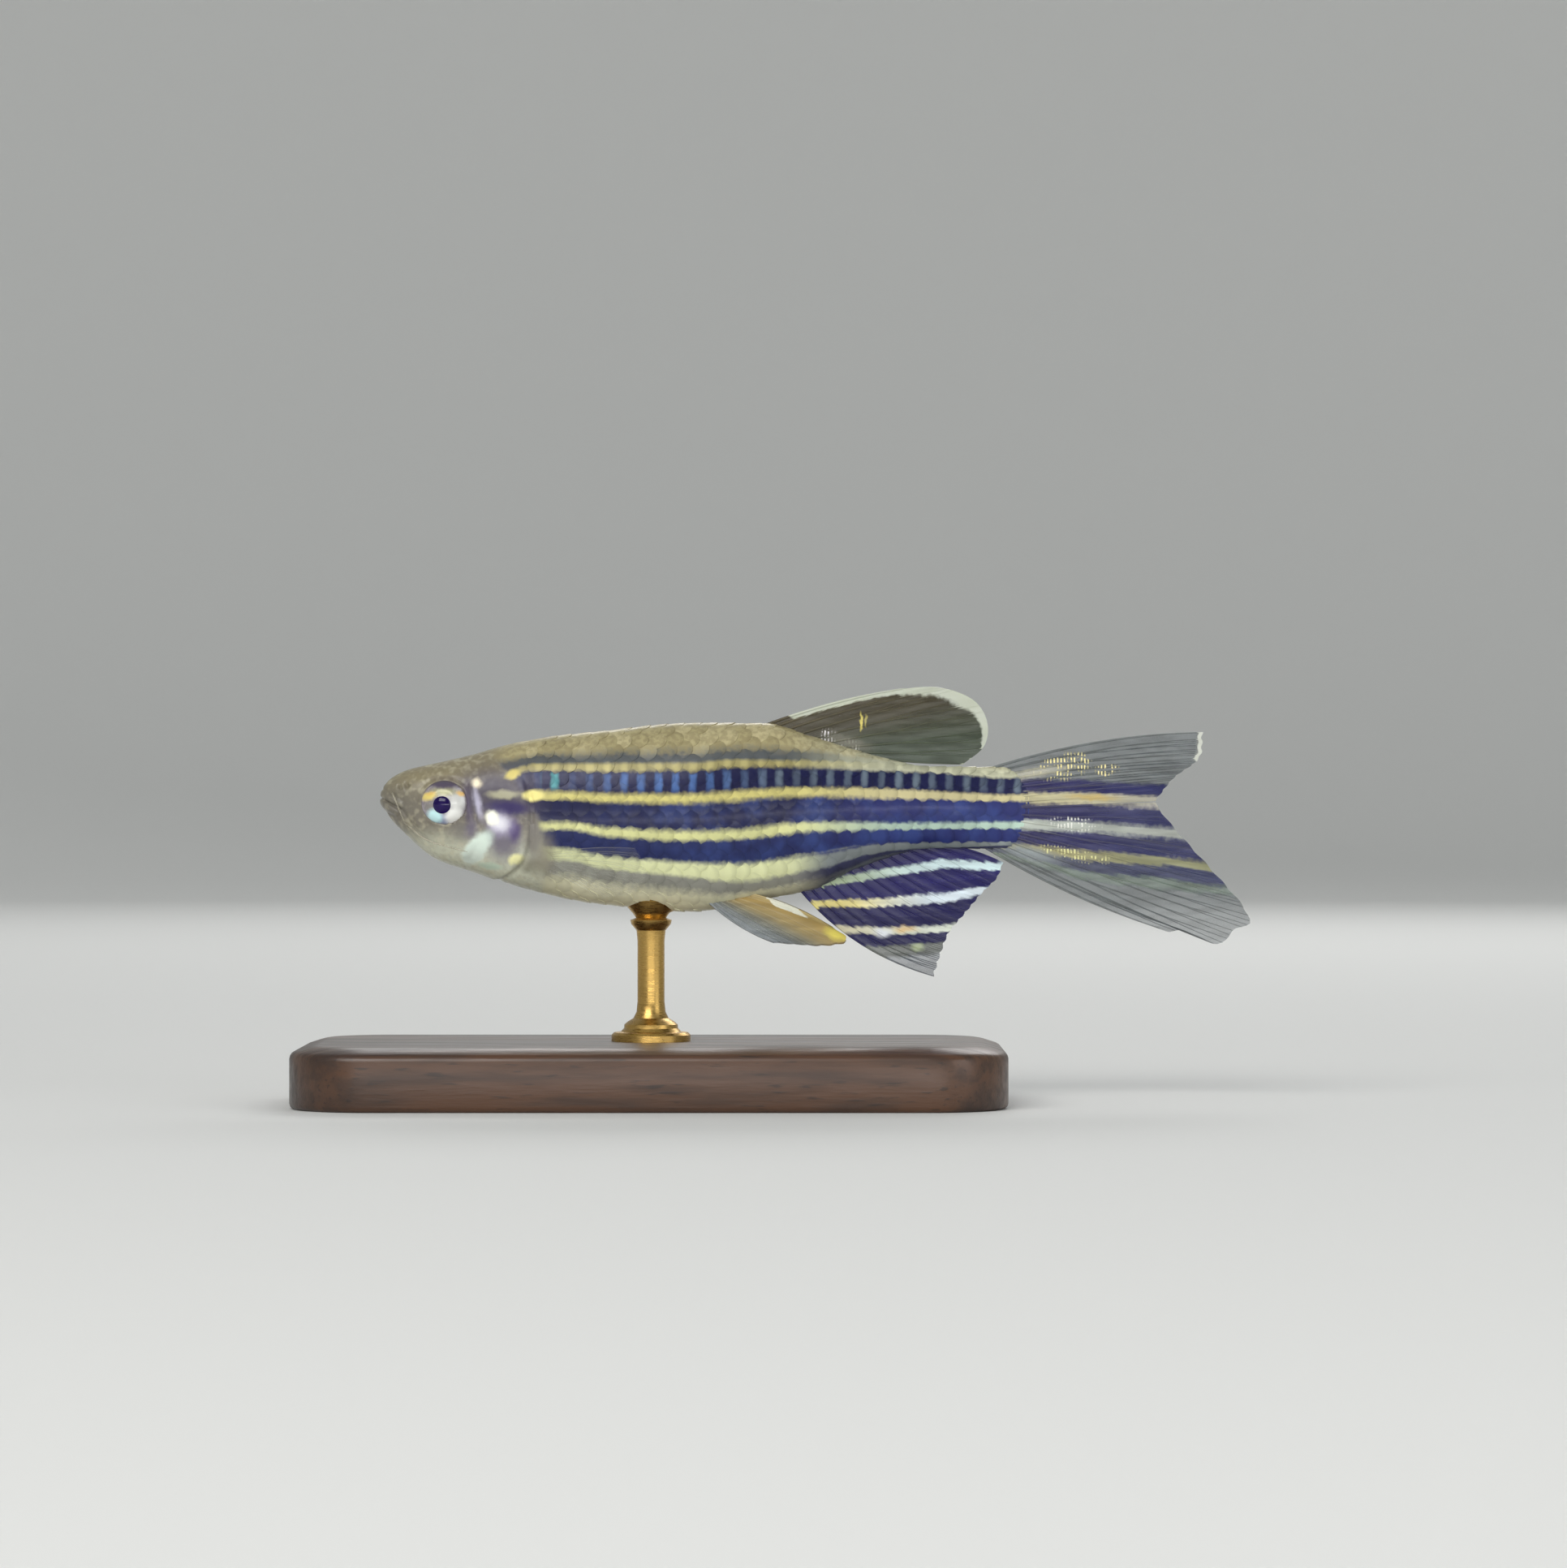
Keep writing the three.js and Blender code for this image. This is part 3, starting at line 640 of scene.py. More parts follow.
def reckon(tree, operation, a, b=0.0, c=0.0):
    made = tree.nodes.new("ShaderNodeMath")
    made.operation = operation
    for socket, value in zip(made.inputs, (a, b, c)):
        wire(tree, value, socket)
    return made.outputs[0]


def times(tree, a, b):
    return reckon(tree, "MULTIPLY", a, b)


def wobble(tree, value, cloud, amount):
    """A value pushed up and down by a noise."""
    return reckon(tree, "MULTIPLY_ADD", reckon(tree, "SUBTRACT", cloud, 0.5), amount, value)


def mix(tree, share, a, b):
    made = tree.nodes.new("ShaderNodeMix")
    made.data_type = "RGBA"
    for i, value in ((0, share), (6, a), (7, b)):
        wire(tree, value, made.inputs[i])
    return made.outputs[2]


def between(tree, value, low, high, to_low=0.0, to_high=1.0):
    """A value carried smoothly from one range to another."""
    return node(
        tree, "MapRange", {"interpolation_type": "SMOOTHSTEP"},
        Value=value, From_Min=low, From_Max=high, To_Min=to_low, To_Max=to_high,
    ).outputs["Result"]


def ramp(tree, value, stops):
    """Colours at places from 0 to 1, blended between them."""
    made = tree.nodes.new("ShaderNodeValToRGB")
    wire(tree, value, made.inputs["Fac"])
    elements = made.color_ramp.elements
    while len(elements) < len(stops):
        elements.new(0.5)
    for element, (place, colour) in zip(elements, stops):
        element.position = place
        element.color = colour
    return made.outputs["Color"]


def bands(*rows, soft=0.011):
    """Stops for stripes with soft edges: each row is where a stripe ends, and its colour."""
    stops = []
    start = 0.0
    for end, colour in rows:
        stops += [(start, colour), (max(end - soft, start), colour)]
        start = end + soft
    return stops


def noise(tree, vector, scale, detail=3.0):
    return node(tree, "TexNoise", Vector=vector, Scale=scale, Detail=detail).outputs[0]


def waves(tree, vector, direction, scale, distortion=0.0, detail=2.0):
    return node(
        tree, "TexWave", {"wave_type": "BANDS", "bands_direction": direction},
        Vector=vector, Scale=scale, Distortion=distortion, Detail=detail,
    ).outputs["Fac"]


def stretched(tree, vector, scale):
    """Coordinates that draw a pattern out along an axis: the smaller its number, the longer."""
    made = node(tree, "Mapping", Vector=vector)
    made.inputs["Scale"].default_value = scale
    return made.outputs[0]


def read_map(tree, name):
    """The two numbers of a map, from its place across and up."""
    layer = node(tree, "UVMap", {"uv_map": name}).outputs[0]
    return node(tree, "SeparateXYZ", Vector=layer).outputs


def read_value(tree, name):
    return node(tree, "Attribute", {"attribute_name": name}).outputs["Fac"]


def roughen(tree, shader, height, strength, distance):
    relief = node(tree, "Bump", Height=height, Strength=strength, Distance=distance)
    wire(tree, relief.outputs[0], shader.inputs["Normal"])


# %% [markdown]
# ## Skin finish
# Live danios owe their stripes to three kinds of skin cell: black ones make the dark stripes, yellow
# ones the gold, and mirror plates under both throw back blue and silver light. The finish follows
# that: two rows of stripe colours, one for the front and one for the rear of the fish, blended along
# the body, with upright bars of painted sheen in the first blue stripe, a draw of chance for each
# scale, a darker edge to it, and spots on the head laid over them. Some of the spots are painted
# shade, and where the mirror plates show they are partly silver and partly painted reflections.

# %% Colours of the fish
KHAKI, KHAKI_DARK, KHAKI_PALE = shade(176, 165, 122), shade(130, 117, 86), shade(214, 204, 164)
DUSK, DUSK_LOW, GOLD_LINE = shade(86, 90, 92), shade(156, 156, 146), shade(172, 162, 108)
NAVY, NAVY_LOW, INDIGO = shade(18, 21, 66), shade(32, 40, 90), shade(38, 44, 104)
# Painted sheen: the colours of the upright bars where the scales of the first blue stripe catch the light.
SHEEN_BAR_BLUE, SHEEN_BAR_TEAL, SHEEN_BAR_GREY = shade(78, 116, 178), shade(64, 138, 144), shade(106, 120, 134)
GOLD, GOLD_PALE, CREAM = shade(212, 202, 126), shade(220, 220, 156), shade(236, 240, 188)
REAR_BACK, REAR_GOLD = shade(196, 196, 168), shade(204, 194, 148)
REAR_ICE, REAR_GREY = shade(186, 210, 194), shade(134, 141, 142)
VENT_VIOLET, REAR_BELLY, BELLY = shade(62, 64, 92), shade(104, 107, 116), shade(246, 243, 208)
BLUE_GLOW = shade(56, 76, 140)
HEAD_TOP, HEAD_SIDE, CHIN = shade(138, 129, 102), shade(124, 118, 106), shade(216, 218, 196)
HEAD_GRAIN, HEAD_SPECKLE = shade(108, 100, 84), shade(206, 200, 172)

BLUE_1, BLUE_2, BLUE_3 = (0.23, 0.373), (0.427, 0.575), (0.629, 0.764)
CREAM_END = 0.865
FRONT_STRIPES = bands(
    (0.083, KHAKI), (0.168, DUSK), (BLUE_1[0], GOLD_LINE), (BLUE_1[1], NAVY), (BLUE_2[0], GOLD),
    (BLUE_2[1], NAVY), (BLUE_3[0], GOLD_PALE), (BLUE_3[1], NAVY_LOW), (CREAM_END, CREAM),
    (0.935, DUSK_LOW), (1.0, BELLY), soft=0.016,
)
REAR_STRIPES = bands(
    (0.245, REAR_BACK), (BLUE_1[1], NAVY), (BLUE_2[0], REAR_GOLD), (BLUE_2[1], INDIGO),
    (BLUE_3[0], REAR_ICE), (0.775, INDIGO), (0.88, REAR_GREY), (0.95, VENT_VIOLET), (1.0, REAR_BELLY),
)

# Spots on the side of the head: middle x and z, half length and half height, turn in degrees,
# softness of the edge, strength, colour.
HEAD_SPOTS = [
    ("snout shadow", 0.5, 0.0, 2.2, 1.5, 0, 0.9, 0.4, shade(100, 98, 92)),
    # Painted shade behind the eye.
    ("temple shade", 5.75, 0.3, 3.0, 1.95, 6, 0.8, 0.95, shade(82, 76, 90)),
    ("brow shadow", 3.2, 0.95, 1.1, 0.3, 0, 0.8, 0.35, shade(92, 80, 84)),
    ("cheek shade", 3.95, -1.5, 0.9, 0.9, 0, 0.9, 0.6, shade(118, 114, 112)),
    ("dark behind eye", 4.34, -0.3, 0.36, 1.75, -5, 0.9, 0.85, shade(92, 82, 104)),
    ("violet under cheek", 4.5, -1.45, 0.55, 0.8, 20, 0.9, 0.6, shade(116, 108, 132)),
    ("cheek bar", 4.78, -0.2, 0.3, 1.2, -13, 0.9, 0.9, shade(190, 186, 206)),
    ("cheek bar top", 4.72, 0.78, 0.36, 0.34, 0, 0.8, 1.0, shade(250, 236, 204)),
    ("gill cover violet", 6.0, -2.1, 1.45, 1.4, 0, 0.9, 0.85, shade(104, 96, 118)),
    ("violet behind glow", 6.55, -1.5, 0.5, 0.9, 0, 0.8, 0.9, shade(88, 72, 120)),
    ("violet stroke", 6.25, -0.4, 1.6, 0.5, 3, 0.7, 1.0, shade(58, 48, 96)),
    # A painted reflection on the silver gill cover: a pale glow in a lilac halo.
    ("lilac halo", 5.85, -1.2, 0.95, 0.85, 0, 0.9, 1.0, shade(176, 168, 200)),
    ("lilac glow", 5.85, -1.15, 0.66, 0.6, 0, 0.8, 1.0, shade(232, 230, 238)),
    ("mint under glow", 5.25, -1.8, 0.5, 0.6, 0, 0.9, 0.9, shade(196, 208, 202)),
    ("cream mirror", 5.46, -0.88, 0.42, 0.5, -35, 0.6, 1.0, shade(250, 250, 230)),
    ("mint mirror", 4.7, -2.36, 0.62, 1.1, 36, 0.5, 1.0, shade(240, 255, 242)),
    ("mint foot", 4.45, -2.7, 0.66, 0.4, 0, 0.5, 1.0, shade(242, 255, 242)),
    ("mint streak", 5.35, -3.18, 0.85, 0.26, 8, 0.7, 1.0, shade(222, 240, 218)),
    ("throat gold", 6.6, -2.84, 0.5, 0.36, -20, 0.7, 1.0, shade(255, 252, 188)),
    ("shade behind the gill", 7.3, -3.15, 1.1, 0.7, 0, 0.9, 0.75, shade(124, 120, 104)),
    ("shoulder fade", 7.95, -2.7, 0.9, 1.7, 0, 0.9, 0.8, shade(138, 132, 116)),
    ("line before stripe", 6.0, 0.24, 1.1, 0.3, 0, 0.7, 0.95, shade(178, 174, 146)),
    ("gold knot", 7.45, 0.18, 0.7, 0.34, 0, 0.6, 1.0, shade(240, 228, 146)),
    ("gold line knot", 6.44, 1.2, 0.55, 0.3, -16, 0.7, 1.0, shade(206, 190, 108)),
    ("shoulder band", 7.4, -1.8, 0.62, 1.6, 0, 0.8, 0.85, shade(126, 121, 116)),
]
# These spots are set shiny; their pale colours are partly the silver skin's own and partly painted
# reflections of the light the mirror plates throw back.
SILVER_SPOTS = {
    "cheek bar", "lilac glow", "cream mirror", "mint mirror", "mint foot", "mint streak", "gold knot",
}
print(len(HEAD_SPOTS), "spots on the head,", len(SILVER_SPOTS), "of them silver")


# %% Helpers that draw on the fish
def spot_mask(tree, vector, x, z, length, height, turn, soft):
    """1 inside an ellipse on the side of the fish, falling to 0 at its edge."""
    centre = Vector((x, 0, z)) * MM + SNOUT
    mapping = node(tree, "Mapping", {"vector_type": "TEXTURE"}, Vector=vector)
    mapping.inputs["Location"].default_value = centre
    mapping.inputs["Rotation"].default_value = (0, math.radians(turn), 0)
    mapping.inputs["Scale"].default_value = (length * MM, 1, height * MM)
    inside = node(tree, "TexGradient", {"gradient_type": "SPHERICAL"}, Vector=mapping.outputs[0])
    return between(tree, inside.outputs["Fac"], 0.0, soft)


def wavering(tree, vector, scale, amount):
    """Coordinates that waver a little, so that an edge drawn on them looks grown."""
    cloud = node(tree, "TexNoise", Vector=vector, Scale=scale, Detail=2.0)
    centred = node(tree, "VectorMath", {"operation": "SUBTRACT"})
    wire(tree, cloud.outputs["Color"], centred.inputs[0])
    centred.inputs[1].default_value = (0.5, 0.5, 0.5)
    scaled = node(tree, "VectorMath", {"operation": "SCALE"})
    wire(tree, centred.outputs[0], scaled.inputs[0])
    scaled.inputs["Scale"].default_value = amount
    summed = node(tree, "VectorMath", {"operation": "ADD"})
    wire(tree, vector, summed.inputs[0])
    wire(tree, scaled.outputs[0], summed.inputs[1])
    return summed.outputs[0]


def lighten(tree, colour, level):
    """A colour made lighter or darker by a level."""
    made = node(tree, "VectorMath", {"operation": "SCALE"})
    wire(tree, colour, made.inputs[0])
    wire(tree, level, made.inputs["Scale"])
    return made.outputs[0]


def in_band(tree, value, low, high, soft=0.012):
    """1 where a value lies between two edges, falling off softly past them."""
    rising = between(tree, value, low - soft, low + soft)
    return times(tree, rising, between(tree, value, high + soft, high - soft))


# %% Colours along the side
# Along the fish, places are shares of the Markings map's length, and stripe numbers run from 0 on
# the back to 1 on the belly.
SCALE_BARS = 383.0  # a wave of this scale in X is 0.82 mm long, the distance from scale to scale
BAR_HEIGHT = (1, 0.2, 0.15)
# Where the painted sheen of the bars turns teal.
TEAL_SHEEN_BARS = (0.248, 0.284)


def low_side_level(tree, along, stripe):
    """The gold under the last blue stripe grows brighter to the rear, and the belly duller."""
    in_cream = in_band(tree, stripe, BLUE_3[1], CREAM_END)
    in_belly = between(tree, stripe, 0.92, 0.96)
    cream_change = between(tree, along, 0.26, 0.46, -0.14, 0.02)
    front_change = between(tree, along, 0.24, 0.32, -0.16, 0.0)
    belly_change = reckon(tree, "ADD", front_change, between(tree, along, 0.42, 0.58, 0.0, -0.26))
    cream_change = times(tree, in_cream, cream_change)
    change = reckon(tree, "ADD", cream_change, times(tree, in_belly, belly_change))
    return reckon(tree, "ADD", change, 1.0)


def striped_colour(tree, along, stripe, waver):
    """The stripes of the front turn into those of the rear, and do so first on the lower side."""
    low_down = times(tree, between(tree, along, 0.61, 0.69), between(tree, stripe, 0.75, 0.77))
    rearward = reckon(tree, "MAXIMUM", between(tree, along, 0.60, 0.80), low_down)
    return mix(tree, rearward, ramp(tree, waver, FRONT_STRIPES), ramp(tree, waver, REAR_STRIPES))


def add_sheen_bars(tree, colour, place, grown, along, stripe, waver):
    """Upright bars of painted sheen, one to a scale, light the first blue stripe and bead the gold line over
    it.
    """
    bars = between(tree, waves(tree, grown, "X", SCALE_BARS, 0.6, 1.0), 0.3, 1.0)
    chance_level = noise(tree, stretched(tree, place, BAR_HEIGHT), 1100, 1.0)
    sheen_draw = between(tree, chance_level, 0.36, 0.62, 0.45, 1.0)
    sheen_colour = mix(tree, between(tree, along, 0.48, 0.62), SHEEN_BAR_BLUE, SHEEN_BAR_GREY)
    teal = in_band(tree, along, *TEAL_SHEEN_BARS, 0.006)
    sheen_colour = mix(tree, teal, sheen_colour, SHEEN_BAR_TEAL)
    sheen_level = reckon(tree, "MAXIMUM", between(tree, along, 0.29, 0.44, 0.16, 1.0), teal)
    in_blue_1 = in_band(tree, waver, BLUE_1[0] + 0.02, BLUE_1[1] - 0.015, 0.02)
    lit = times(tree, in_blue_1, times(tree, bars, sheen_draw))
    colour = mix(tree, times(tree, lit, sheen_level), colour, sheen_colour)
    in_gold_line = in_band(tree, stripe, 0.15, BLUE_1[0])
    bead_depth = reckon(tree, "MULTIPLY_ADD", in_gold_line, 0.25, 0.03)
    beads = reckon(tree, "MULTIPLY_ADD", bars, bead_depth, 0.97)
    return lighten(tree, colour, reckon(tree, "MULTIPLY_ADD", in_gold_line, -0.16, beads))


def add_glow(tree, colour, cloud, along, waver):
    """Clouds of lighter blue in the second and third blue stripes, stronger to the rear."""
    in_blue = reckon(tree, "MAXIMUM", in_band(tree, waver, *BLUE_2), in_band(tree, waver, *BLUE_3))
    glow = times(tree, in_blue, between(tree, cloud, 0.4, 0.7))
    glow = times(tree, glow, between(tree, along, 0.3, 0.55, 0.1, 0.6))
    return mix(tree, glow, colour, BLUE_GLOW)


def vary_scales(tree, colour, grain, along, stripe):
    """Mottles the back, gives each scale a level of its own, darkens its free edge, and paints light on the
    tail end, where the rounded body falls into shade.
    """
    draw, share = read_value(tree, "Scale draw"), read_value(tree, "Scale share")
    on_back = between(tree, stripe, 0.14, 0.05)
    pale_scale = times(tree, on_back, between(tree, draw, 0.3, 0.9, 0.0, 0.3))
    colour = mix(tree, pale_scale, colour, KHAKI_PALE)
    mottle = times(tree, on_back, between(tree, grain, 0.62, 0.4, 0.0, 0.4))
    colour = mix(tree, mottle, colour, KHAKI_DARK)

    level = reckon(tree, "MULTIPLY_ADD", draw, 0.16, 0.92)
    striped = in_band(tree, stripe, 0.18, 0.82, 0.05)
    free_edge = between(tree, share, 0.78, 1.0)
    edge_depth = times(tree, free_edge, reckon(tree, "MULTIPLY_ADD", striped, -0.06, -0.1))
    level = times(tree, level, reckon(tree, "ADD", edge_depth, 1.0))
    # Painted light on the rounded tail end, where the body falls into shade.
    level = times(tree, level, between(tree, along, 0.9, 0.98, 1.0, 1.12))
    return lighten(tree, colour, level)


# %% Lay the head's colours over the stripes
HEAD_TURNS_OLIVE = (-0.4, 1.2)  # from and to these heights over the tip of the snout, in millimetres
CHIN_PALES = (-1.0, -2.7)


def head_colour(tree, place, grain):
    """Olive on top, grey brown on the side and pale under the chin, with a fine speckle."""
    height = node(tree, "SeparateXYZ", Vector=place).outputs[2]
    side = between(tree, height, *(SNOUT.z + up * MM for up in HEAD_TURNS_OLIVE))
    chin = between(tree, height, *(SNOUT.z + up * MM for up in CHIN_PALES))
    colour = mix(tree, side, HEAD_SIDE, HEAD_TOP)
    colour = mix(tree, chin, colour, CHIN)
    colour = mix(tree, between(tree, grain, 0.4, 0.7, 0.0, 0.2), colour, HEAD_GRAIN)
    speckle = between(tree, noise(tree, place, 3000, 1.0), 0.45, 0.75, 0.0, 0.4)
    return mix(tree, speckle, colour, HEAD_SPECKLE)


def paint_spots(tree, vector, colour, spots, at=(0, 0)):
    """A colour with spots laid over it, measured from a place, and the mask of each spot."""
    masks = {}
    for name, x, z, length, height, turn, soft, strength, spot_colour in spots:
        mask = spot_mask(tree, vector, at[0] + x, at[1] + z, length, height, turn, soft)
        masks[name] = times(tree, mask, strength)
        colour = mix(tree, masks[name], colour, spot_colour)
    return colour, masks


# %% Build the skin finish
def skin_finish():
    made, tree, shader, place = start_material(
        "danio_skin", Roughness=0.34, Coat_Weight=0.16, Coat_Roughness=0.16, Specular_IOR_Level=0.25
    )
    grown = wavering(tree, place, 2600, 0.00022)
    along, stripe, _ = read_map(tree, "Markings")
    on_head = read_value(tree, "Head share")
    cloud, grain = noise(tree, place, 700), noise(tree, place, 4200)
    waver = wobble(tree, stripe, grain, 0.03)

    colour = striped_colour(tree, along, stripe, waver)
    colour = add_sheen_bars(tree, colour, place, grown, along, stripe, waver)
    colour = add_glow(tree, colour, cloud, along, waver)
    colour = lighten(tree, colour, low_side_level(tree, along, stripe))
    colour = vary_scales(tree, colour, grain, along, stripe)
    colour = mix(tree, on_head, colour, head_colour(tree, place, grain))
    colour, masks = paint_spots(tree, grown, colour, HEAD_SPOTS)
    wire(tree, colour, shader.inputs["Base Color"])

    silver, *others = [mask for name, mask in masks.items() if name in SILVER_SPOTS]
    for mask in others:
        silver = reckon(tree, "MAXIMUM", silver, mask)
    lustre = times(tree, reckon(tree, "SUBTRACT", 1.0, on_head), 0.12)
    mirrors = reckon(tree, "MAXIMUM", times(tree, silver, 0.35), lustre)
    wire(tree, mirrors, shader.inputs["Metallic"])
    wire(tree, between(tree, grain, 0.3, 0.7, 0.28, 0.44), shader.inputs["Roughness"])
    roughen(tree, shader, grain, 0.18, 0.03 * MM)
    return made


danio_skin = skin_finish()
finish_piece(
    skin, "skin", "striped_skin",
    ["head", "lower_jaw", "gill_cover_left", "gill_cover_right", "torso", "tail"], danio_skin,
)

# %% [markdown]
# ## Scales
# The body of a danio is covered from the gill covers to the tail in thin round scales that overlap
# like roof tiles, free edge to the rear. One scale is modelled flat: a grid bent to a fan shape and
# given a thickness. Then it is laid on the skin again and again, row by row, each copy bent to the
# body under it. Rows run along the fish and end where the body narrows, as real rows do.

# %% Model one flat scale
SCALE = {
    "length": 1.3, "width": 1.0, "thick": 0.03, "root_lift": -0.035, "edge_lift": 0.026, "crown": 0.012,
}

deselect_all()
bpy.ops.mesh.primitive_grid_add(x_subdivisions=6, y_subdivisions=6, size=1, location=(0.5, 0, 0))
one_scale = bpy.context.object
bpy.ops.object.transform_apply(location=True)
flat = corners(one_scale.data)
off_middle = 2 * np.abs(flat[:, 1])
round_end = SCALE["width"] / 2 * (1 - np.sqrt(1 - 0.95 * off_middle ** 2)) * flat[:, 0] ** 2
narrow_root = 0.7 + 0.3 * smoothstep(0, 0.5, flat[:, 0])
flat[:, 0] = flat[:, 0] * SCALE["length"] - round_end
flat[:, 1] *= narrow_root * SCALE["width"]
move_corners(one_scale.data, flat)
pick(one_scale)
thickness = one_scale.modifiers.new("thickness", "SOLIDIFY")
thickness.thickness = SCALE["thick"]
thickness.offset = -1
bpy.ops.object.modifier_apply(modifier="thickness")
pattern = corners(one_scale.data)
pattern_faces = [tuple(face.vertices) for face in one_scale.data.polygons]
bpy.data.objects.remove(one_scale)
print("one scale has", len(pattern_faces), "faces")

# %% Find where every scale grows
PITCH, ROW = 0.82, 0.68
FIRST_ROOT, SCALES_TO = 5.4, 30.1
ROWS_EACH_WAY, MOST_COLUMNS = 12, 42
# Height, and the distance from the snout where the scales begin there.
FIELD_FROM = [
    (3.7, 5.5), (2.4, 5.9), (1.5, 6.3), (1.0, 7.0), (-0.5, 7.3), (-2, 7.2), (-3.2, 6.7), (-4, 6.2), (-6, 5.6),
]

girth_x = np.linspace(4, SKIN_END, 160)
girth_angles = np.linspace(-0.6, np.pi + 0.6, 400)
girth_points = skin_point(girth_x[:, None], girth_angles[None, :])
steps = np.linalg.norm(np.diff(girth_points, axis=1), axis=-1)
girth = np.concatenate([np.zeros((len(girth_x), 1)), np.cumsum(steps, axis=1)], axis=1)
at_side = np.array([np.interp(np.pi / 2, girth_angles, row) for row in girth])
girth = at_side[:, None] - girth
to_back = np.array([np.interp(0.0, girth_angles, row) for row in girth])
to_belly = np.array([np.interp(np.pi, girth_angles, row) for row in girth])

SHELF = np.linspace(-9, 9, 721)
angle_table = np.array([np.interp(SHELF, row[::-1], girth_angles[::-1]) for row in girth])


def angle_at(x, up):
    """The angle round the body of a place so far up the side from the middle, along the skin."""
    i = np.clip((x - girth_x[0]) / (girth_x[1] - girth_x[0]), 0, len(girth_x) - 1.001)
    j = np.clip((up - SHELF[0]) / (SHELF[1] - SHELF[0]), 0, len(SHELF) - 1.001)
    i0, j0 = i.astype(int), j.astype(int)
    fi, fj = i - i0, j - j0
    near = angle_table[i0, j0] * (1 - fj) + angle_table[i0, j0 + 1] * fj
    far = angle_table[i0 + 1, j0] * (1 - fj) + angle_table[i0 + 1, j0 + 1] * fj
    return near * (1 - fi) + far * fi


chance = np.random.default_rng(7)
roots = []
field_heights, field_starts = zip(*FIELD_FROM[::-1])
for row in range(-ROWS_EACH_WAY, ROWS_EACH_WAY + 1):
    for column in range(MOST_COLUMNS):
        x = FIRST_ROOT + (column + 0.5 * (row % 2)) * PITCH
        up = row * ROW
        if x > SCALES_TO or not np.interp(x, girth_x, to_belly) < up < np.interp(x, girth_x, to_back):
            continue
        height_there = skin_point(np.array(x), angle_at(np.array([x]), np.array([up]))[0])[2]
        start = np.interp(height_there, field_heights, field_starts)
        if x >= start:
            roots.append((x, up, x - start))
roots = np.array(roots)
print(len(roots), "scales on each side")

# %% Lay the scales on the body
VARIES = {"size": 0.05, "turn": 0.05, "lift": 0.004}
SMALLER_AT_TAIL, TAIL_SHRINKS = 0.2, (24, 29)
FRONT_TUCK, TUCKED_FOR = 0.035, 1.3
ROOT_AHEAD = 0.3
OWN_STRIPE = 0.88  # how far a corner shows its own stripe, and for the rest that of its scale's root
PATCH = 0.003  # the size of a scale on the sheet of the OFBake map


def lay_scales(side):
    """All the scales of one side as corner places, with the numbers that their finish reads."""
    count = len(roots)
    size = 1 + VARIES["size"] * chance.standard_normal(count)
    size *= 1 - SMALLER_AT_TAIL * smoothstep(*TAIL_SHRINKS, roots[:, 0])
    turn = VARIES["turn"] * chance.standard_normal(count)
    draws = chance.random(count)
    lift_draw = VARIES["lift"] * chance.standard_normal(count)
    lift_draw -= FRONT_TUCK * (1 - smoothstep(0, TUCKED_FOR, roots[:, 2]))
    along, across, thick = pattern[:, 0], pattern[:, 1], pattern[:, 2]
    back_by = size[:, None] * (along * np.cos(turn)[:, None] - across * np.sin(turn)[:, None])
    up_by = size[:, None] * (across * np.cos(turn)[:, None] + along * np.sin(turn)[:, None])
    share = along / SCALE["length"]
    rise = SCALE["root_lift"] + (SCALE["edge_lift"] - SCALE["root_lift"]) * share
    crown = SCALE["crown"] * (2 * across / SCALE["width"]) ** 2
    lift = (rise - crown + thick)[None, :] + lift_draw[:, None]
    x = roots[:, :1] + back_by - ROOT_AHEAD
    angle = angle_at(x, roots[:, 1:2] + up_by)
    points = skin_point(x, angle, lift)
    root_angle = angle_at(roots[:, 0], roots[:, 1])
    root_points = skin_point(roots[:, 0], root_angle)
    own = stripe_number(points[..., 0], points[..., 2])
    shared = stripe_number(root_points[:, 0], root_points[:, 2])[:, None]
    round_share = np.clip(share + 0.4 * (2 * across / SCALE["width"]) ** 2 * share, 0, 1)
    if side == "right":
        points[..., 1] = 2 * sway(points[..., 0]) - points[..., 1]
        root_angle = 2 * np.pi - root_angle
    patch = PATCH * np.stack([share - 0.5, across / SCALE["width"]], -1)
    around = np.mod(root_angle, 2 * np.pi) / (2 * np.pi)
    patch_middle = np.stack([roots[:, 0] / SHEET_LENGTH, around * SHEET_EDGE], -1)
    return {
        "points": points,
        "marks": OWN_STRIPE * own + (1 - OWN_STRIPE) * shared,
        "draws": np.repeat(draws, len(pattern)),
        "share": np.tile(round_share, count),
        "bake": patch[None] + patch_middle[:, None],
        "head": head_share(points[..., 0], points[..., 2]),
    }


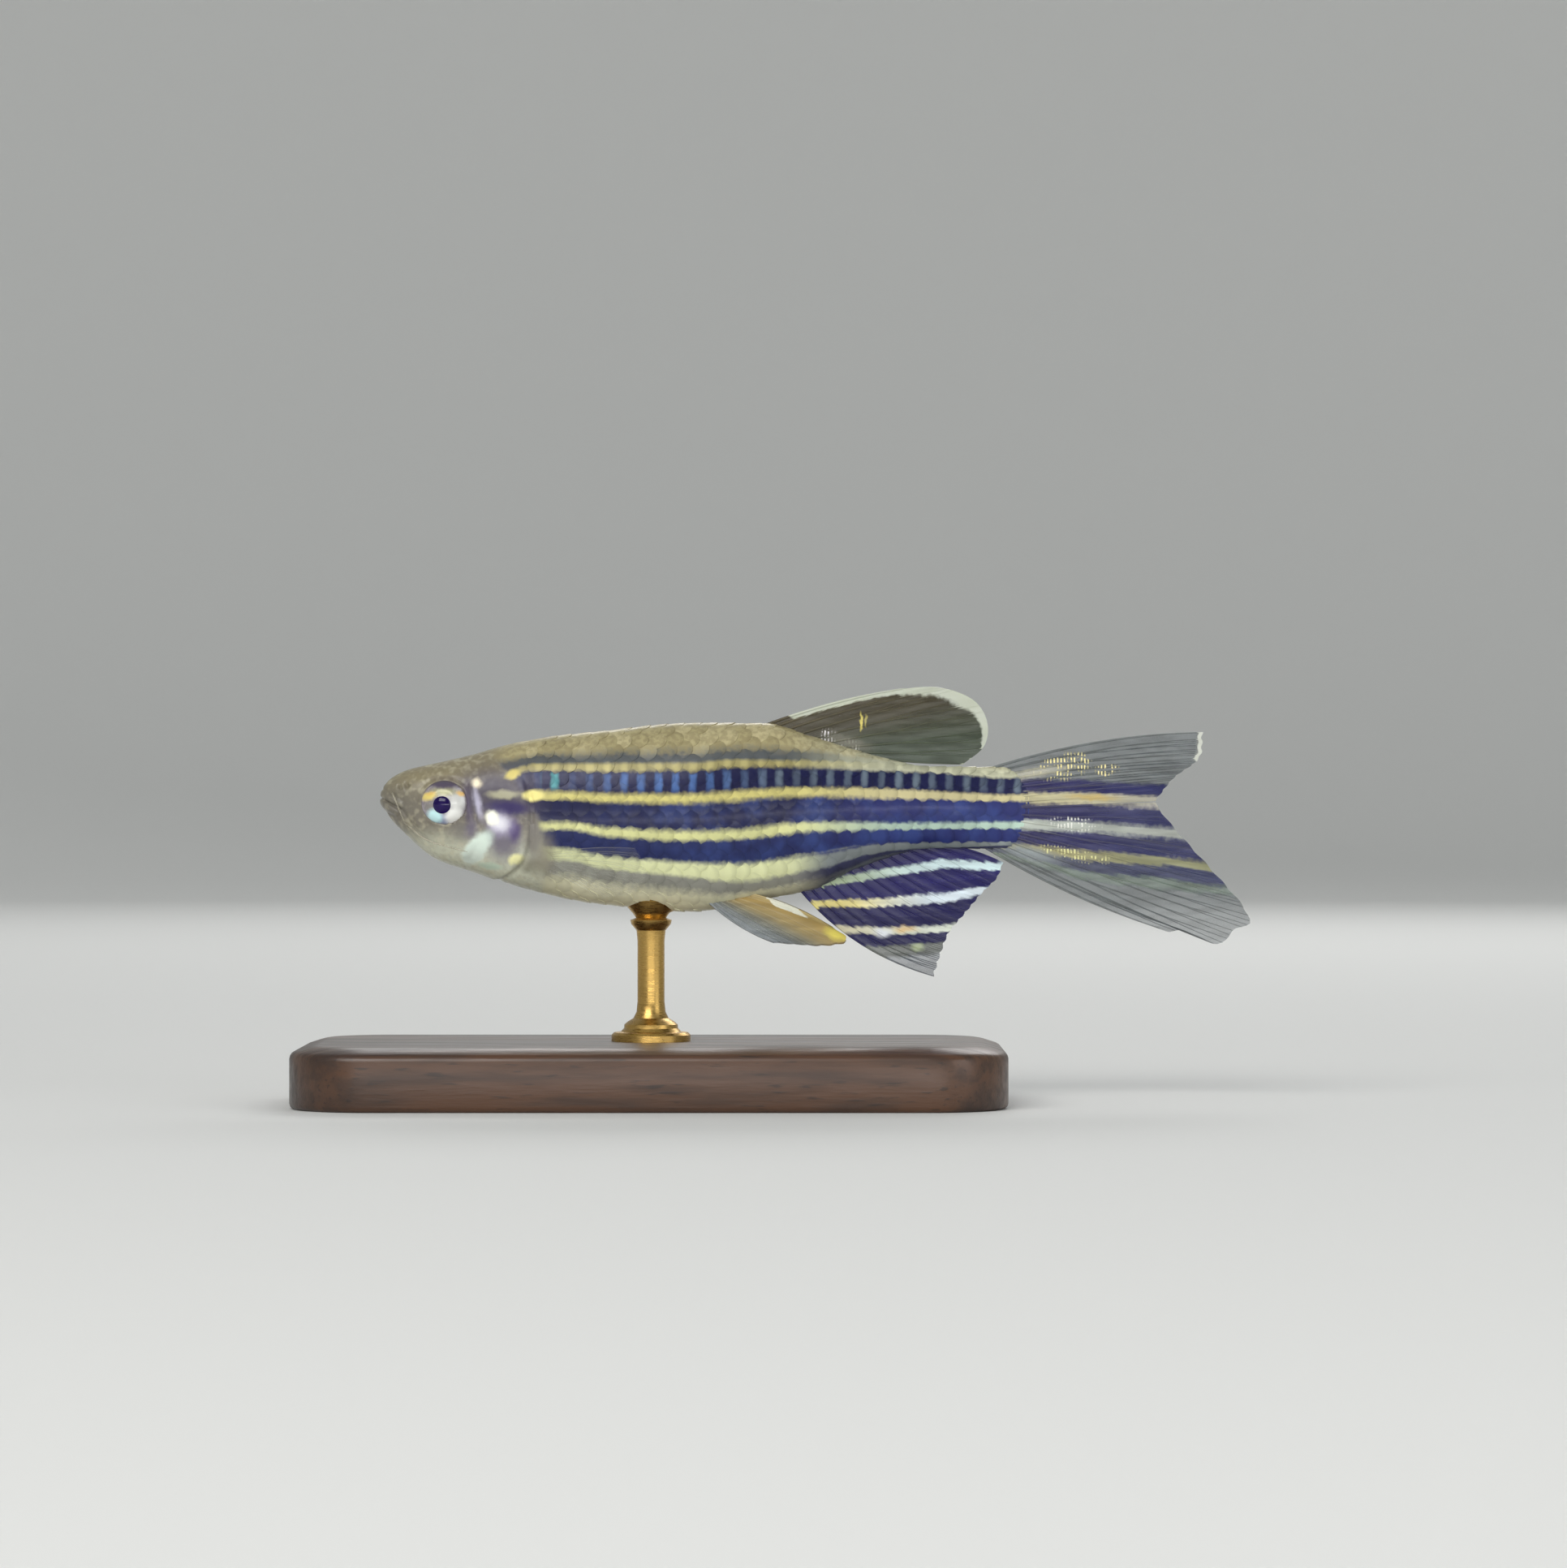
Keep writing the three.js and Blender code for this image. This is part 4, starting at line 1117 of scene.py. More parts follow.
def join_scales(side):
    laid = lay_scales(side)
    count, each = laid["points"].shape[:2]
    faces = [tuple(n + k * each for n in face) for k in range(count) for face in pattern_faces]
    mesh = bpy.data.meshes.new("scales_" + side)
    mesh.from_pydata(in_metres(laid["points"]).reshape(-1, 3).tolist(), [], faces)
    coat = bpy.data.objects.new("scales_" + side, mesh)
    bpy.context.scene.collection.objects.link(coat)
    loops_here = loop_corners(mesh)
    bake = laid["bake"].reshape(-1, 2)[loops_here]
    add_map(mesh, "OFBake", bake[:, 0], bake[:, 1])
    lengthwise = laid["points"][..., 0].ravel() / SHEET_LENGTH
    add_map(mesh, "Markings", lengthwise[loops_here], laid["marks"].ravel()[loops_here])
    add_value(mesh, "Head share", laid["head"].ravel())
    add_value(mesh, "Scale draw", laid["draws"])
    add_value(mesh, "Scale share", laid["share"])
    pick(coat)
    if side == "right":
        bpy.ops.object.mode_set(mode="EDIT")
        bpy.ops.mesh.select_all(action="SELECT")
        bpy.ops.mesh.flip_normals()
        bpy.ops.object.mode_set(mode="OBJECT")
    bpy.ops.object.shade_smooth_by_angle(angle=math.radians(50))
    finish_piece(coat, "scales_" + side, "striped_skin", [], danio_skin)


for side in ("left", "right"):
    join_scales(side)

# %% [markdown]
# ## Eyes
# A fish's eye is a flat ball with a mirror-like iris and a round black pupil that bulges a little,
# because its lens is a whole sphere. The eyeball is a sphere flattened and turned to lie on the
# cheek. The pupil is a smaller one set into it. A coat of clear gloss on the iris and the gloss of
# the pupil stand in for the cornea, and the iris has gold above and silver below, as light from
# above paints it.

# %% Iris and pupil finishes
PUPIL = {
    "forward": 0.075, "lower": 0.06, "radius": 0.53, "tall": 0.5, "half_depth": 0.3, "proud": 0.075,
}
PUPIL_RIM = [(0.52, 0.07, -0.015), (0.7, 0.12, 0.012)]
IRIS_DARK, IRIS_PALE, IRIS_RIM = shade(140, 130, 142), shade(178, 170, 178), shade(84, 74, 82)
PUPIL_BLUE, PUPIL_VIOLET = shade(8, 0, 40), shade(34, 4, 96)
IRIS_SPOTS = [
    ("grey in front", -0.75, -0.15, 0.5, 0.5, 0, 0.9, 0.8, shade(136, 132, 124)),
    ("cream behind", 0.62, 0.05, 0.62, 0.75, 0, 0.7, 1.0, shade(210, 210, 206)),
    ("olive above", -0.05, 0.56, 0.95, 0.4, 0, 0.8, 0.95, shade(166, 164, 120)),
    ("lilac below", 0.0, -0.8, 0.5, 0.4, 0, 0.8, 1.0, shade(160, 170, 200)),
    ("gold in front", -0.76, 0.32, 0.54, 0.28, -14, 0.7, 1.0, shade(240, 218, 126)),
    ("orange in front", -0.66, 0.46, 0.4, 0.12, -14, 0.9, 0.5, shade(240, 188, 96)),
    ("orange behind", 0.8, 0.45, 0.36, 0.18, 14, 0.8, 0.9, shade(238, 196, 118)),
    # Painted highlights, low in the iris.
    ("ice highlight in front", -0.46, -0.64, 0.52, 0.46, 35, 0.6, 1.0, shade(212, 252, 255)),
    ("white highlight behind", 0.46, -0.62, 0.6, 0.54, -25, 0.6, 1.0, shade(255, 255, 250)),
    ("dark above", 0.0, 0.98, 1.15, 0.4, 0, 0.6, 1.0, shade(84, 74, 92)),
]


def iris_finish():
    made, tree, shader, place = start_material(
        "danio_iris", Roughness=0.3, Metallic=0.12, Coat_Weight=0.3, Coat_Roughness=0.05
    )
    grown = wavering(tree, place, 5200, 0.00012)
    streaks = noise(tree, place, 6000)
    colour = mix(tree, between(tree, streaks, 0.35, 0.65), IRIS_DARK, IRIS_PALE)
    colour, _ = paint_spots(tree, grown, colour, IRIS_SPOTS, (EYE["x"], EYE["z"]))
    length, height = EYE["radius"] * 0.98, EYE["tall"] * 0.98
    inside_rim = spot_mask(tree, place, EYE["x"], EYE["z"], length, height, 0, 0.12)
    wire(tree, mix(tree, inside_rim, IRIS_RIM, colour), shader.inputs["Base Color"])
    roughen(tree, shader, streaks, 0.2, 0.03 * MM)
    return made


def pupil_finish():
    made, tree, shader, place = start_material("danio_pupil", Roughness=0.1, Specular_IOR_Level=0.35)
    depth = noise(tree, place, 1800)
    wire(tree, mix(tree, depth, PUPIL_BLUE, PUPIL_VIOLET), shader.inputs["Base Color"])
    return made


danio_iris, danio_pupil = iris_finish(), pupil_finish()
print("an iris with", len(IRIS_SPOTS), "spots, and a pupil")

# %% Model the eyes
SIDES = ((-1, "left"), (1, "right"))
eye_face = float(half_at(EYE["x"], EYE["z"])) + EYE["proud"]


def flat_ball(x, y, z, radius, half_depth, tall, turn, segments):
    deselect_all()
    bpy.ops.mesh.primitive_uv_sphere_add(
        segments=segments, ring_count=segments * 2 // 3, radius=1, rotation=(math.pi / 2, 0, 0)
    )
    ball = bpy.context.object
    settle(ball)
    bpy.ops.transform.resize(value=(radius * MM, half_depth * MM, tall * MM))
    bpy.ops.object.transform_apply(scale=True)
    ball.rotation_euler = (0, 0, turn)
    ball.location = in_metres((x, y, z))
    settle(ball)
    bpy.ops.object.shade_smooth()
    return ball


for side, name in SIDES:
    eyeball = flat_ball(
        EYE["x"], side * (eye_face - EYE["half_depth"]), EYE["z"],
        EYE["radius"], EYE["half_depth"], EYE["tall"], -side * EYE["turn"], 48,
    )
    around_pupil = corners(eyeball.data)
    pupil_x, pupil_z = EYE["x"] - PUPIL["forward"], EYE["z"] - PUPIL["lower"]
    centre = in_metres((pupil_x, 0, pupil_z))
    from_pupil = np.hypot(around_pupil[:, 0] - centre[0], around_pupil[:, 2] - centre[2]) / MM
    around_pupil[:, 1] += side * MM * ridges(from_pupil, PUPIL_RIM)
    move_corners(eyeball.data, around_pupil)
    finish_piece(eyeball, "iris_" + name, "iris", ["eye_" + name], danio_iris)
    pupil = flat_ball(
        pupil_x, side * (eye_face + PUPIL["proud"] - PUPIL["half_depth"]), pupil_z,
        PUPIL["radius"], PUPIL["half_depth"], PUPIL["tall"], -side * EYE["turn"], 32,
    )
    finish_piece(pupil, "lens_" + name, "pupil", ["pupil_" + name], danio_pupil)

# %% [markdown]
# ## Barbels
# Two pairs of feelers hang from the mouth: a short pair from the snout and a longer pair from its
# corners. Each is a hair of soft skin. A curve with a round bevel is the quickest way to a tube that
# tapers, so each barbel is drawn as one and then turned into a mesh.

# %% Draw tapered tubes
def tubes(name, strands, sides=1):
    """One mesh of many tapered tubes. A strand is its points and the radius at each, in mm."""
    drawn = bpy.data.curves.new(name, "CURVE")
    drawn.dimensions = "3D"
    drawn.bevel_depth = MM
    drawn.bevel_resolution = sides
    drawn.use_fill_caps = True
    for points, radii in strands:
        spline = drawn.splines.new("POLY")
        spline.points.add(len(points) - 1)
        rows = np.c_[in_metres(points), np.ones(len(points))]
        spline.points.foreach_set("co", rows.ravel())
        spline.points.foreach_set("radius", np.asarray(radii, float))
    held = bpy.data.objects.new(name, drawn)
    bpy.context.scene.collection.objects.link(held)
    pick(held)
    bpy.ops.object.convert(target="MESH")
    bpy.ops.object.shade_smooth()
    return bpy.context.object


def through(points, count=200):
    """A curve through points, read by the share of its length."""
    knots = np.array(points, float)
    padded = np.vstack([2 * knots[0] - knots[1], knots, 2 * knots[-1] - knots[-2]])
    rows = []
    for p0, p1, p2, p3 in zip(padded, padded[1:], padded[2:], padded[3:]):
        t = np.linspace(0, 1, count)[:, None]
        start, end = (p2 - p0) / 2, (p3 - p1) / 2
        rows.append(
            p1 + start * t + (3 * (p2 - p1) - 2 * start - end) * t ** 2
            + (2 * (p1 - p2) + start + end) * t ** 3
        )
    fine = np.vstack(rows)
    run = np.r_[0, np.cumsum(np.linalg.norm(np.diff(fine, axis=0), axis=1))]
    run /= run[-1]
    return lambda v: np.stack([np.interp(v, run, fine[:, i]) for i in range(3)], -1)


# %% Make the barbels
BARBEL = {"root": 0.07, "tip": 0.02}
BARBEL_TAN, BARBEL_DARK = shade(186, 180, 158), shade(160, 153, 132)
SNOUT_BARBEL = [(0.62, 0.3, -0.05), (0.72, 0.2, 0.5), (1.05, -0.55, 0.7), (1.3, -1.2, 0.55)]
MOUTH_BARBEL = [(1.35, -1.15, -0.05), (1.5, -1.3, 0.35), (2.4, -1.95, 0.6), (4.3, -2.5, 0.6)]


def barbel_finish():
    made, tree, shader, place = start_material(
        "danio_barbel", Roughness=0.4, Coat_Weight=0.4, Coat_Roughness=0.15, Alpha=0.42
    )
    spots = between(tree, noise(tree, place, 5000), 0.45, 0.65)
    wire(tree, mix(tree, spots, BARBEL_TAN, BARBEL_DARK), shader.inputs["Base Color"])
    return made


danio_barbel = barbel_finish()
for kind, trail in (("snout", SNOUT_BARBEL), ("mouth", MOUTH_BARBEL)):
    for side, name in SIDES:
        route = through([(x, side * (float(half_at(x, z)) + lift), z) for x, z, lift in trail])
        shares = np.linspace(0, 1, 28)
        radii = BARBEL["root"] + (BARBEL["tip"] - BARBEL["root"]) * shares
        radii[-1] *= 0.4
        feeler = tubes("feeler", [(route(shares), radii)], sides=3)
        node_name = f"barbel_{kind}_{name}"
        finish_piece(feeler, "feeler_" + kind + "_" + name, "barbel", [node_name], danio_barbel)

# %% [markdown]
# ## How a fin is made
# A fin is a double sheet of clear skin stretched over bony rays that fan out from the body, fork
# once or twice, and end in a soft edge. Here the sheet is a grid whose corners are moved into place
# by their share of the way out (u) and across the rays (v), given a thickness, and slightly notched
# between the rays. The rays are tapered tubes drawn on the same surface, which fork on the way.

# %% The surface of a fin
class Fin:
    """A fan of rays from a root line to a tip line, in fish millimetres."""

    def __init__(self, rays, root, tip, bow, drift):
        self.rays, self.root, self.tip, self.bow, self.drift = rays, root, tip, bow, drift

    def place(self, u, v):
        u, v = np.broadcast_arrays(np.asarray(u, float), np.asarray(v, float))
        share = u[..., None]
        points = self.root(v) * (1 - share) + self.tip(v) * share
        points += self.bow(v) * 4 * share * (1 - share)
        points[..., 1] += sway(points[..., 0]) + self.drift(u, v)
        return points


def line_between(a, b):
    a, b = np.array(a, float), np.array(b, float)
    return lambda v: a + (b - a) * np.asarray(v)[..., None]


def through_side(points):
    """A curve through places of the side view, each an x and a z."""
    return through([(x, 0, z) for x, z in points])


def row_of(x=0.0, y=0.0, z=0.0):
    """A row of points from numbers or arrays."""
    return np.stack(np.broadcast_arrays(x, y, z), -1).astype(float)


# %% Make the sheet and the rays of a fin
SHEET_THICK = 0.045


def fin_sheet(fin, columns_a_ray, steps, notch, billow):
    """The clear skin of a fin, and the u and v of each of its corners before it is thickened."""
    columns = (fin.rays - 1) * columns_a_ray
    deselect_all()
    bpy.ops.mesh.primitive_grid_add(
        x_subdivisions=steps, y_subdivisions=columns, size=1, location=(0.5, 0.5, 0)
    )
    sheet = bpy.context.object
    settle(sheet)
    flat_places = corners(sheet.data)
    u, v = np.clip(flat_places[:, 0], 0, 1), np.clip(flat_places[:, 1], 0, 1)
    between_rays = np.sin(v * (fin.rays - 1) * np.pi) ** 2
    points = fin.place(u * (1 - notch * between_rays * u ** 6), v)
    points[:, 1] += billow * np.sin(v * (fin.rays - 1) * np.pi) * u
    move_corners(sheet.data, in_metres(points))
    return sheet, u, v, points


FORK, TWIG = 0.2, 0.11  # how far the two halves of a ray part, in gaps between rays


def fin_strands(fin, radius, fork_at, steps=8):
    """The forked rays of a fin as strands for tubes()."""
    gap_between = 1 / (fin.rays - 1)
    strands = []

    def strand(u0, u1, v0, v1, thick0, thick1):
        t = np.linspace(0, 1, steps)
        v = v0 + (v1 - v0) * smoothstep(0, 1, t)
        strands.append((fin.place(u0 + (u1 - u0) * t, v), thick0 + (thick1 - thick0) * t))

    first, second = fork_at
    for i in range(fin.rays):
        v = i * gap_between
        if i in (0, fin.rays - 1):
            strand(0, 0.6, v, v, radius * 1.1, radius * 0.8)
            strand(0.6, 1, v, v, radius * 0.8, radius * 0.3)
            continue
        strand(0, first, v, v, radius, radius * 0.72)
        for side in (-FORK, FORK):
            forked = v + side * gap_between
            strand(first, second, v, forked, radius * 0.62, radius * 0.5)
            for twig in (-TWIG, TWIG):
                end = forked + twig * gap_between
                strand(second, 0.995, forked, end, radius * 0.42, radius * 0.22)
    return strands


def wear_marks(mesh, here, along, number, border, u):
    """Leaves a mesh with two maps: how far along and the stripe number, and the border and u."""
    while mesh.uv_layers:
        mesh.uv_layers.remove(mesh.uv_layers[0])
    add_map(mesh, "Markings", along[here], number[here])
    add_map(mesh, "Border", border[here], u[here])


def make_fin(name, fin, slot, replaced, marks, materials, radius=0.075, columns_a_ray=6, steps=26,
             notch=0.02, billow=0.03, fork_at=(0.4, 0.7)):
    """A whole fin. marks(u, v, points) gives how far along, the stripe number and the border."""
    sheet, u, v, points = fin_sheet(fin, columns_a_ray, steps, notch, billow)
    marked = [np.broadcast_to(mark, u.shape) for mark in marks(u, v, points)] + [u]
    wear_marks(sheet.data, loop_corners(sheet.data), *marked)
    nearby = KDTree(len(points))
    for i, p in enumerate(in_metres(points)):
        nearby.insert(p, i)
    nearby.balance()
    pick(sheet)
    skin_wall = sheet.modifiers.new("thickness", "SOLIDIFY")
    skin_wall.thickness = SHEET_THICK * MM
    skin_wall.offset = 0
    bpy.ops.object.modifier_apply(modifier="thickness")
    turn_outwards()
    bpy.ops.object.shade_smooth_by_angle(angle=math.radians(40))

    rays = tubes(name + "_rays", fin_strands(fin, radius, fork_at))
    nearest = np.array([nearby.find(vertex.co)[1] for vertex in rays.data.vertices])
    wear_marks(rays.data, nearest[loop_corners(rays.data)], *marked)
    finish_piece(sheet, name + "_sheet", slot, replaced, materials[0])
    finish_piece(rays, name + "_rays", slot, [], materials[1])


# %% [markdown]
# ## Fin finishes
# The sheets are clear, with the same dark and pale cells as the body in the striped fins. Clear skin
# needs an alpha that lets the background through. The numbers in the Markings map say which stripe a
# place is on, and one ramp gives its colour and another how much it hides. The rays wear the same
# colours, brighter, with short joints that glint along them.

# %% Build the fin finishes
GLINTS = 1.0  # the softness that marks a fleck as a field of short glints
BORDER_PALE, RAY_PALE = shade(204, 208, 198), shade(206, 204, 186)


def grey(level):
    return (level, level, level, 1)


def glint_field(tree, place, grown):
    """Short dashes where the joints of the rays cross rows of skin, broken up by a cloud."""
    joints = between(tree, waves(tree, place, "X", 1900.0, 2.0, 1.0), 0.5, 0.7)
    rows = between(tree, waves(tree, grown, "Z", 1000.0, 1.6), 0.12, 0.3)
    gaps = between(tree, noise(tree, place, 2300), 0.44, 0.54)
    return times(tree, times(tree, joints, rows), gaps)


def fin_finish(name, front, opacity, rear=None, border=None, ray=0.0, ray_hides=0.4, flecks=()):
    """A sheet or ray finish. front, rear and opacity are stops along the stripe number."""
    made, tree, shader, place = start_material(
        name, Roughness=0.36, Coat_Weight=0.12, Coat_Roughness=0.15, Specular_IOR_Level=0.3
    )
    grown = wavering(tree, place, 2600, 0.0003)
    along, stripe, _ = read_map(tree, "Markings")
    grain, cloud = noise(tree, place, 3800), noise(tree, place, 900)
    waver = wobble(tree, wobble(tree, stripe, grain, 0.035), cloud, 0.02)
    colour = ramp(tree, waver, front)
    if rear:
        colour = mix(tree, between(tree, along, 0.15, 0.7), colour, ramp(tree, waver, rear))
    hides = ramp(tree, waver, [(at, grey(level)) for at, level in opacity])
    streaks = noise(tree, stretched(tree, place, (0.12, 1, 1)), 3400, 2.0)
    colour = lighten(tree, colour, between(tree, streaks, 0.3, 0.7, 0.78, 1.22))
    hides = lighten(tree, hides, between(tree, streaks, 0.62, 0.3, 0.82, 1.0))
    dashes = glint_field(tree, place, grown)
    for _, x, z, length, height, turn, soft, fleck in flecks:
        mask = spot_mask(tree, grown, x, z, length, height, turn, soft)
        if soft == GLINTS:
            mask = times(tree, between(tree, mask, 0.0, 0.4), dashes)
            hides = mix(tree, mask, hides, grey(1))
        colour = mix(tree, mask, colour, fleck)
    if border:
        frayed = wobble(tree, read_map(tree, "Border")[0], grain, 0.35)
        in_border = between(tree, frayed, 0.38, 0.62)
        colour = mix(tree, in_border, colour, mix(tree, cloud, border, BORDER_PALE))
        hides = mix(tree, in_border, hides, grey(0.93))
    if ray:
        colour = mix(tree, ray, colour, RAY_PALE)
        hides = mix(tree, ray_hides, hides, grey(1))
    wire(tree, colour, shader.inputs["Base Color"])
    wire(tree, hides, shader.inputs["Alpha"])
    roughen(tree, shader, waves(tree, place, "X", 900.0) if ray else grain, 0.25, 0.03 * MM)
    return made


def both_finishes(name, ray=0.15, ray_hides=0.4, **settings):
    sheet = fin_finish(name + "_sheet", **settings)
    return sheet, fin_finish(name + "_ray", ray=ray, ray_hides=ray_hides, **settings)


def hold(rows):
    """Levels that hold across each stripe, for stripes whose edges are as soft as bands() draws."""
    return bands(*rows, soft=0.01)


# %% [markdown]
# ## Dorsal fin
# The dorsal fin is swept back like a sail. Its skin is clear olive brown, and a cream border runs up
# its front edge and round its top, widest at the rear corner. How deep a place lies in the border is
# worked out from its distance to the edge of the fin.

# %% Make the dorsal fin
DORSAL = {"rays": 9, "front": 18.1, "rear": 22.9, "sunk": 0.25, "leading_border": 0.22}
DORSAL_TIPS = [
    (25, 5.32), (26.8, 5.4), (28.3, 4.92), (29.0, 4.2), (29.22, 3.3), (28.95, 2.45), (28.0, 1.7),
]
# How wide the border is at places from the first ray to the last.
BORDER_PLACES = [0, 0.15, 0.35, 0.5, 0.65, 0.78, 0.84]
BORDER_WIDTHS = [0.22, 0.24, 0.4, 0.62, 0.36, 0.24, 0]


def dorsal_root(v):
    x = DORSAL["front"] + (DORSAL["rear"] - DORSAL["front"]) * np.asarray(v)
    return row_of(x, 0, back(x) - DORSAL["sunk"])


dorsal = Fin(
    DORSAL["rays"], dorsal_root, through_side(DORSAL_TIPS),
    lambda v: row_of(z=0.2 - 0.28 * v), lambda u, v: 0.35 * u * u * v,
)


def distance_to(row, points):
    """How far each point is from the nearest of a row of points, seen from the side."""
    return np.min(np.hypot(points[:, None, 0] - row[None, :, 0], points[:, None, 2] - row[None, :, 2]), 1)


def dorsal_marks(u, v, points):
    """The border is 1 on the front edge and along the tips, as wide as it is there on the fish."""
    steps = np.linspace(0, 1, 80)
    to_edge = distance_to(dorsal.place(np.ones(80), steps), points)
    to_front = distance_to(dorsal.place(steps, np.zeros(80)), points)
    wide = np.interp(v, BORDER_PLACES, BORDER_WIDTHS)
    in_edge = 1 - to_edge / np.maximum(wide, 0.01) / 2
    in_front = 1 - to_front / DORSAL["leading_border"] / 2
    in_front *= smoothstep(19.4, 20.0, points[:, 0])
    return v, v, np.clip(np.maximum(in_edge, in_front), 0, 1)


dorsal_look = dict(
    front=[
        (0, shade(76, 66, 42)), (0.45, shade(70, 64, 44)), (0.75, shade(66, 76, 58)), (1, shade(80, 90, 76)),
    ],
    opacity=[(0, 0.9), (0.6, 0.87), (1, 0.78)],
    border=shade(196, 202, 178),
    ray=0.06,
    flecks=[
        # Painted glints: a thin gold dash and a fainter one behind it.
        ("gold glint dash", 23.1, 3.75, 0.1, 0.6, 0, 0.6, shade(230, 214, 112)),
        ("gold glint dash behind", 23.32, 3.8, 0.09, 0.4, 0, 0.8, shade(190, 178, 100)),
        ("glints at the root", 21.35, 2.8, 0.8, 0.8, 0, GLINTS, shade(244, 240, 244)),
        ("glints behind", 22.5, 2.45, 0.7, 0.6, 14, GLINTS, shade(236, 236, 232)),
        ("pale root", 22.4, 2.75, 1.8, 0.5, 14, 0.9, shade(120, 118, 104)),
    ],
)
make_fin(
    "dorsal", dorsal, "clear_fin", ["dorsal_fin"], dorsal_marks, both_finishes("dorsal", **dorsal_look),
    notch=0.0,
)

# %% [markdown]
# ## Anal fin
# The anal fin hangs deep behind the vent and carries the boldest stripes of all, dark violet and
# icy white by turns. The edges of the stripes are finely stepped, because each strip of skin along
# a ray grows its own piece of them.

# %% Make the anal fin
ANAL = {"rays": 15, "front": 20.1, "rear": 26.5, "sunk": 0.25}
ANAL_TIPS = [
    (29.95, -3.05), (29.65, -3.8), (28.95, -4.5), (28.1, -5.5), (27.35, -6.4), (26.95, -7.4), (26.6, -8.5),
]
ANAL_MARKS_FROM, ANAL_MARKS_LENGTH = 20.5, 9
ANAL_LINE_PLACES = [20.5, 24, 27, 29.8]
ANAL_LINES = {
    "light A": [-4.2, -3.63, -3.1, -3.3],
    "dark 2": [-4.5, -4.2, -3.8, -3.8],
    "light B": [-5.0, -5.0, -4.75, -4.2],
    "dark 3": [-5.5, -5.65, -5.5, -5.2],
    "light C": [-6.1, -6.4, -6.3, -6.0],
    "dark 4": [-6.7, -6.9, -6.75, -6.6],
    "spot": [-7.2, -7.4, -7.2, -6.8],
    "clear": [-8.2, -8.4, -8.3, -8.0],
}


def anal_root(v):
    x = ANAL["rear"] + (ANAL["front"] - ANAL["rear"]) * np.asarray(v)
    return row_of(x, 0, belly(x) + ANAL["sunk"])


anal = Fin(
    ANAL["rays"], anal_root, through_side(ANAL_TIPS),
    lambda v: row_of(x=-0.35 * v, z=0.16 - 0.66 * v), lambda u, v: -0.4 * u * u * v,
)


def stepped(v, strips):
    """v pulled towards the middle of its own narrow strip of skin."""
    place = v * strips
    middle = np.floor(np.minimum(place, strips - 0.001)) + 0.5
    return np.clip((0.5 * place + 0.5 * middle) / strips, 0, 1)


def lines_to_number(lines, places, x, z, first=0.8):
    """The stripe number in a fin whose lines run down from number 1."""
    depths = [-np.interp(x, places, heights) for heights in lines.values()]
    edges = [depths[0] - first, *depths]
    return number_between(-z, edges) / 10


def anal_marks(u, v, points):
    moved = anal.place(u, stepped(v, 2 * ANAL["rays"]))
    number = lines_to_number(ANAL_LINES, ANAL_LINE_PLACES, moved[:, 0], moved[:, 2])
    return (points[:, 0] - ANAL_MARKS_FROM) / ANAL_MARKS_LENGTH, number, 0


ANAL_VIOLET, ANAL_DEEP = shade(30, 24, 94), shade(26, 22, 80)
ANAL_SPOT, ANAL_CLEAR = shade(104, 108, 104), shade(90, 98, 108)


def anal_stops(light_a, light_b, light_c):
    return bands(
        (0.072, ANAL_VIOLET), (0.128, light_a), (0.274, ANAL_VIOLET), (0.328, light_b), (0.474, ANAL_DEEP),
        (0.526, light_c), (0.63, ANAL_DEEP), (0.72, ANAL_SPOT), (1, ANAL_CLEAR), soft=0.01,
    )


anal_look = dict(
    front=anal_stops(shade(176, 194, 160), shade(236, 222, 140), shade(206, 200, 170)),
    rear=anal_stops(shade(214, 236, 238), shade(226, 238, 246), shade(222, 228, 214)),
    opacity=hold([(0.56, 0.98), (0.64, 0.92), (0.72, 0.7), (1, 0.4)]),
    ray=0.02,
    flecks=[
        ("ice in light C", 24.1, -6.4, 0.7, 0.34, 8, 0.9, shade(236, 240, 246)),
        ("orange in light C", 25.2, -6.25, 0.9, 0.26, 0, 0.9, shade(232, 204, 152)),
        ("green spot", 25.8, -7.1, 0.42, 0.3, 0, 0.7, shade(176, 188, 148)),
    ],
)
make_fin(
    "anal", anal, "striped_fin", ["anal_fin"], anal_marks, both_finishes("anal", **anal_look), notch=0.012,
)

# %% [markdown]
# ## Tail fin
# The tail fin forks into two lobes. The stripes of the body run on through its middle, and the outer
# parts are clear. In the solid model each lobe is a piece of its own, and here each keeps its own
# sheet, made by the same function from its own outline.

# %% Make the tail fin
CAUDAL = {"front": 28.9, "top": 1.35, "middle": -0.42, "bottom": -2.2, "gap": 0.03}
CAUDAL_MARKS_FROM, CAUDAL_MARKS_LENGTH = 30, 11
CAUDAL_LINE_PLACES = [30, 34, 38, 41.4]
CAUDAL_LINES = {
    "dark A": [0.72, 0.6, 0.39, 0.3],
    "gold A": [0.07, 0.08, -0.1, -0.2],
    "dark B": [-0.53, -0.72, -0.97, -1.2],
    "pale B": [-1.22, -1.29, -1.64, -1.9],
    "dark C": [-1.8, -2.07, -2.4, -2.9],
    "green C": [-2.22, -2.77, -3.05, -3.4],
    "dark D": [-2.45, -3.3, -3.55, -4.1],
    "pale D": [-2.7, -3.85, -4.3, -4.6],
    "clear": [-3.2, -4.5, -5.0, -5.3],
}

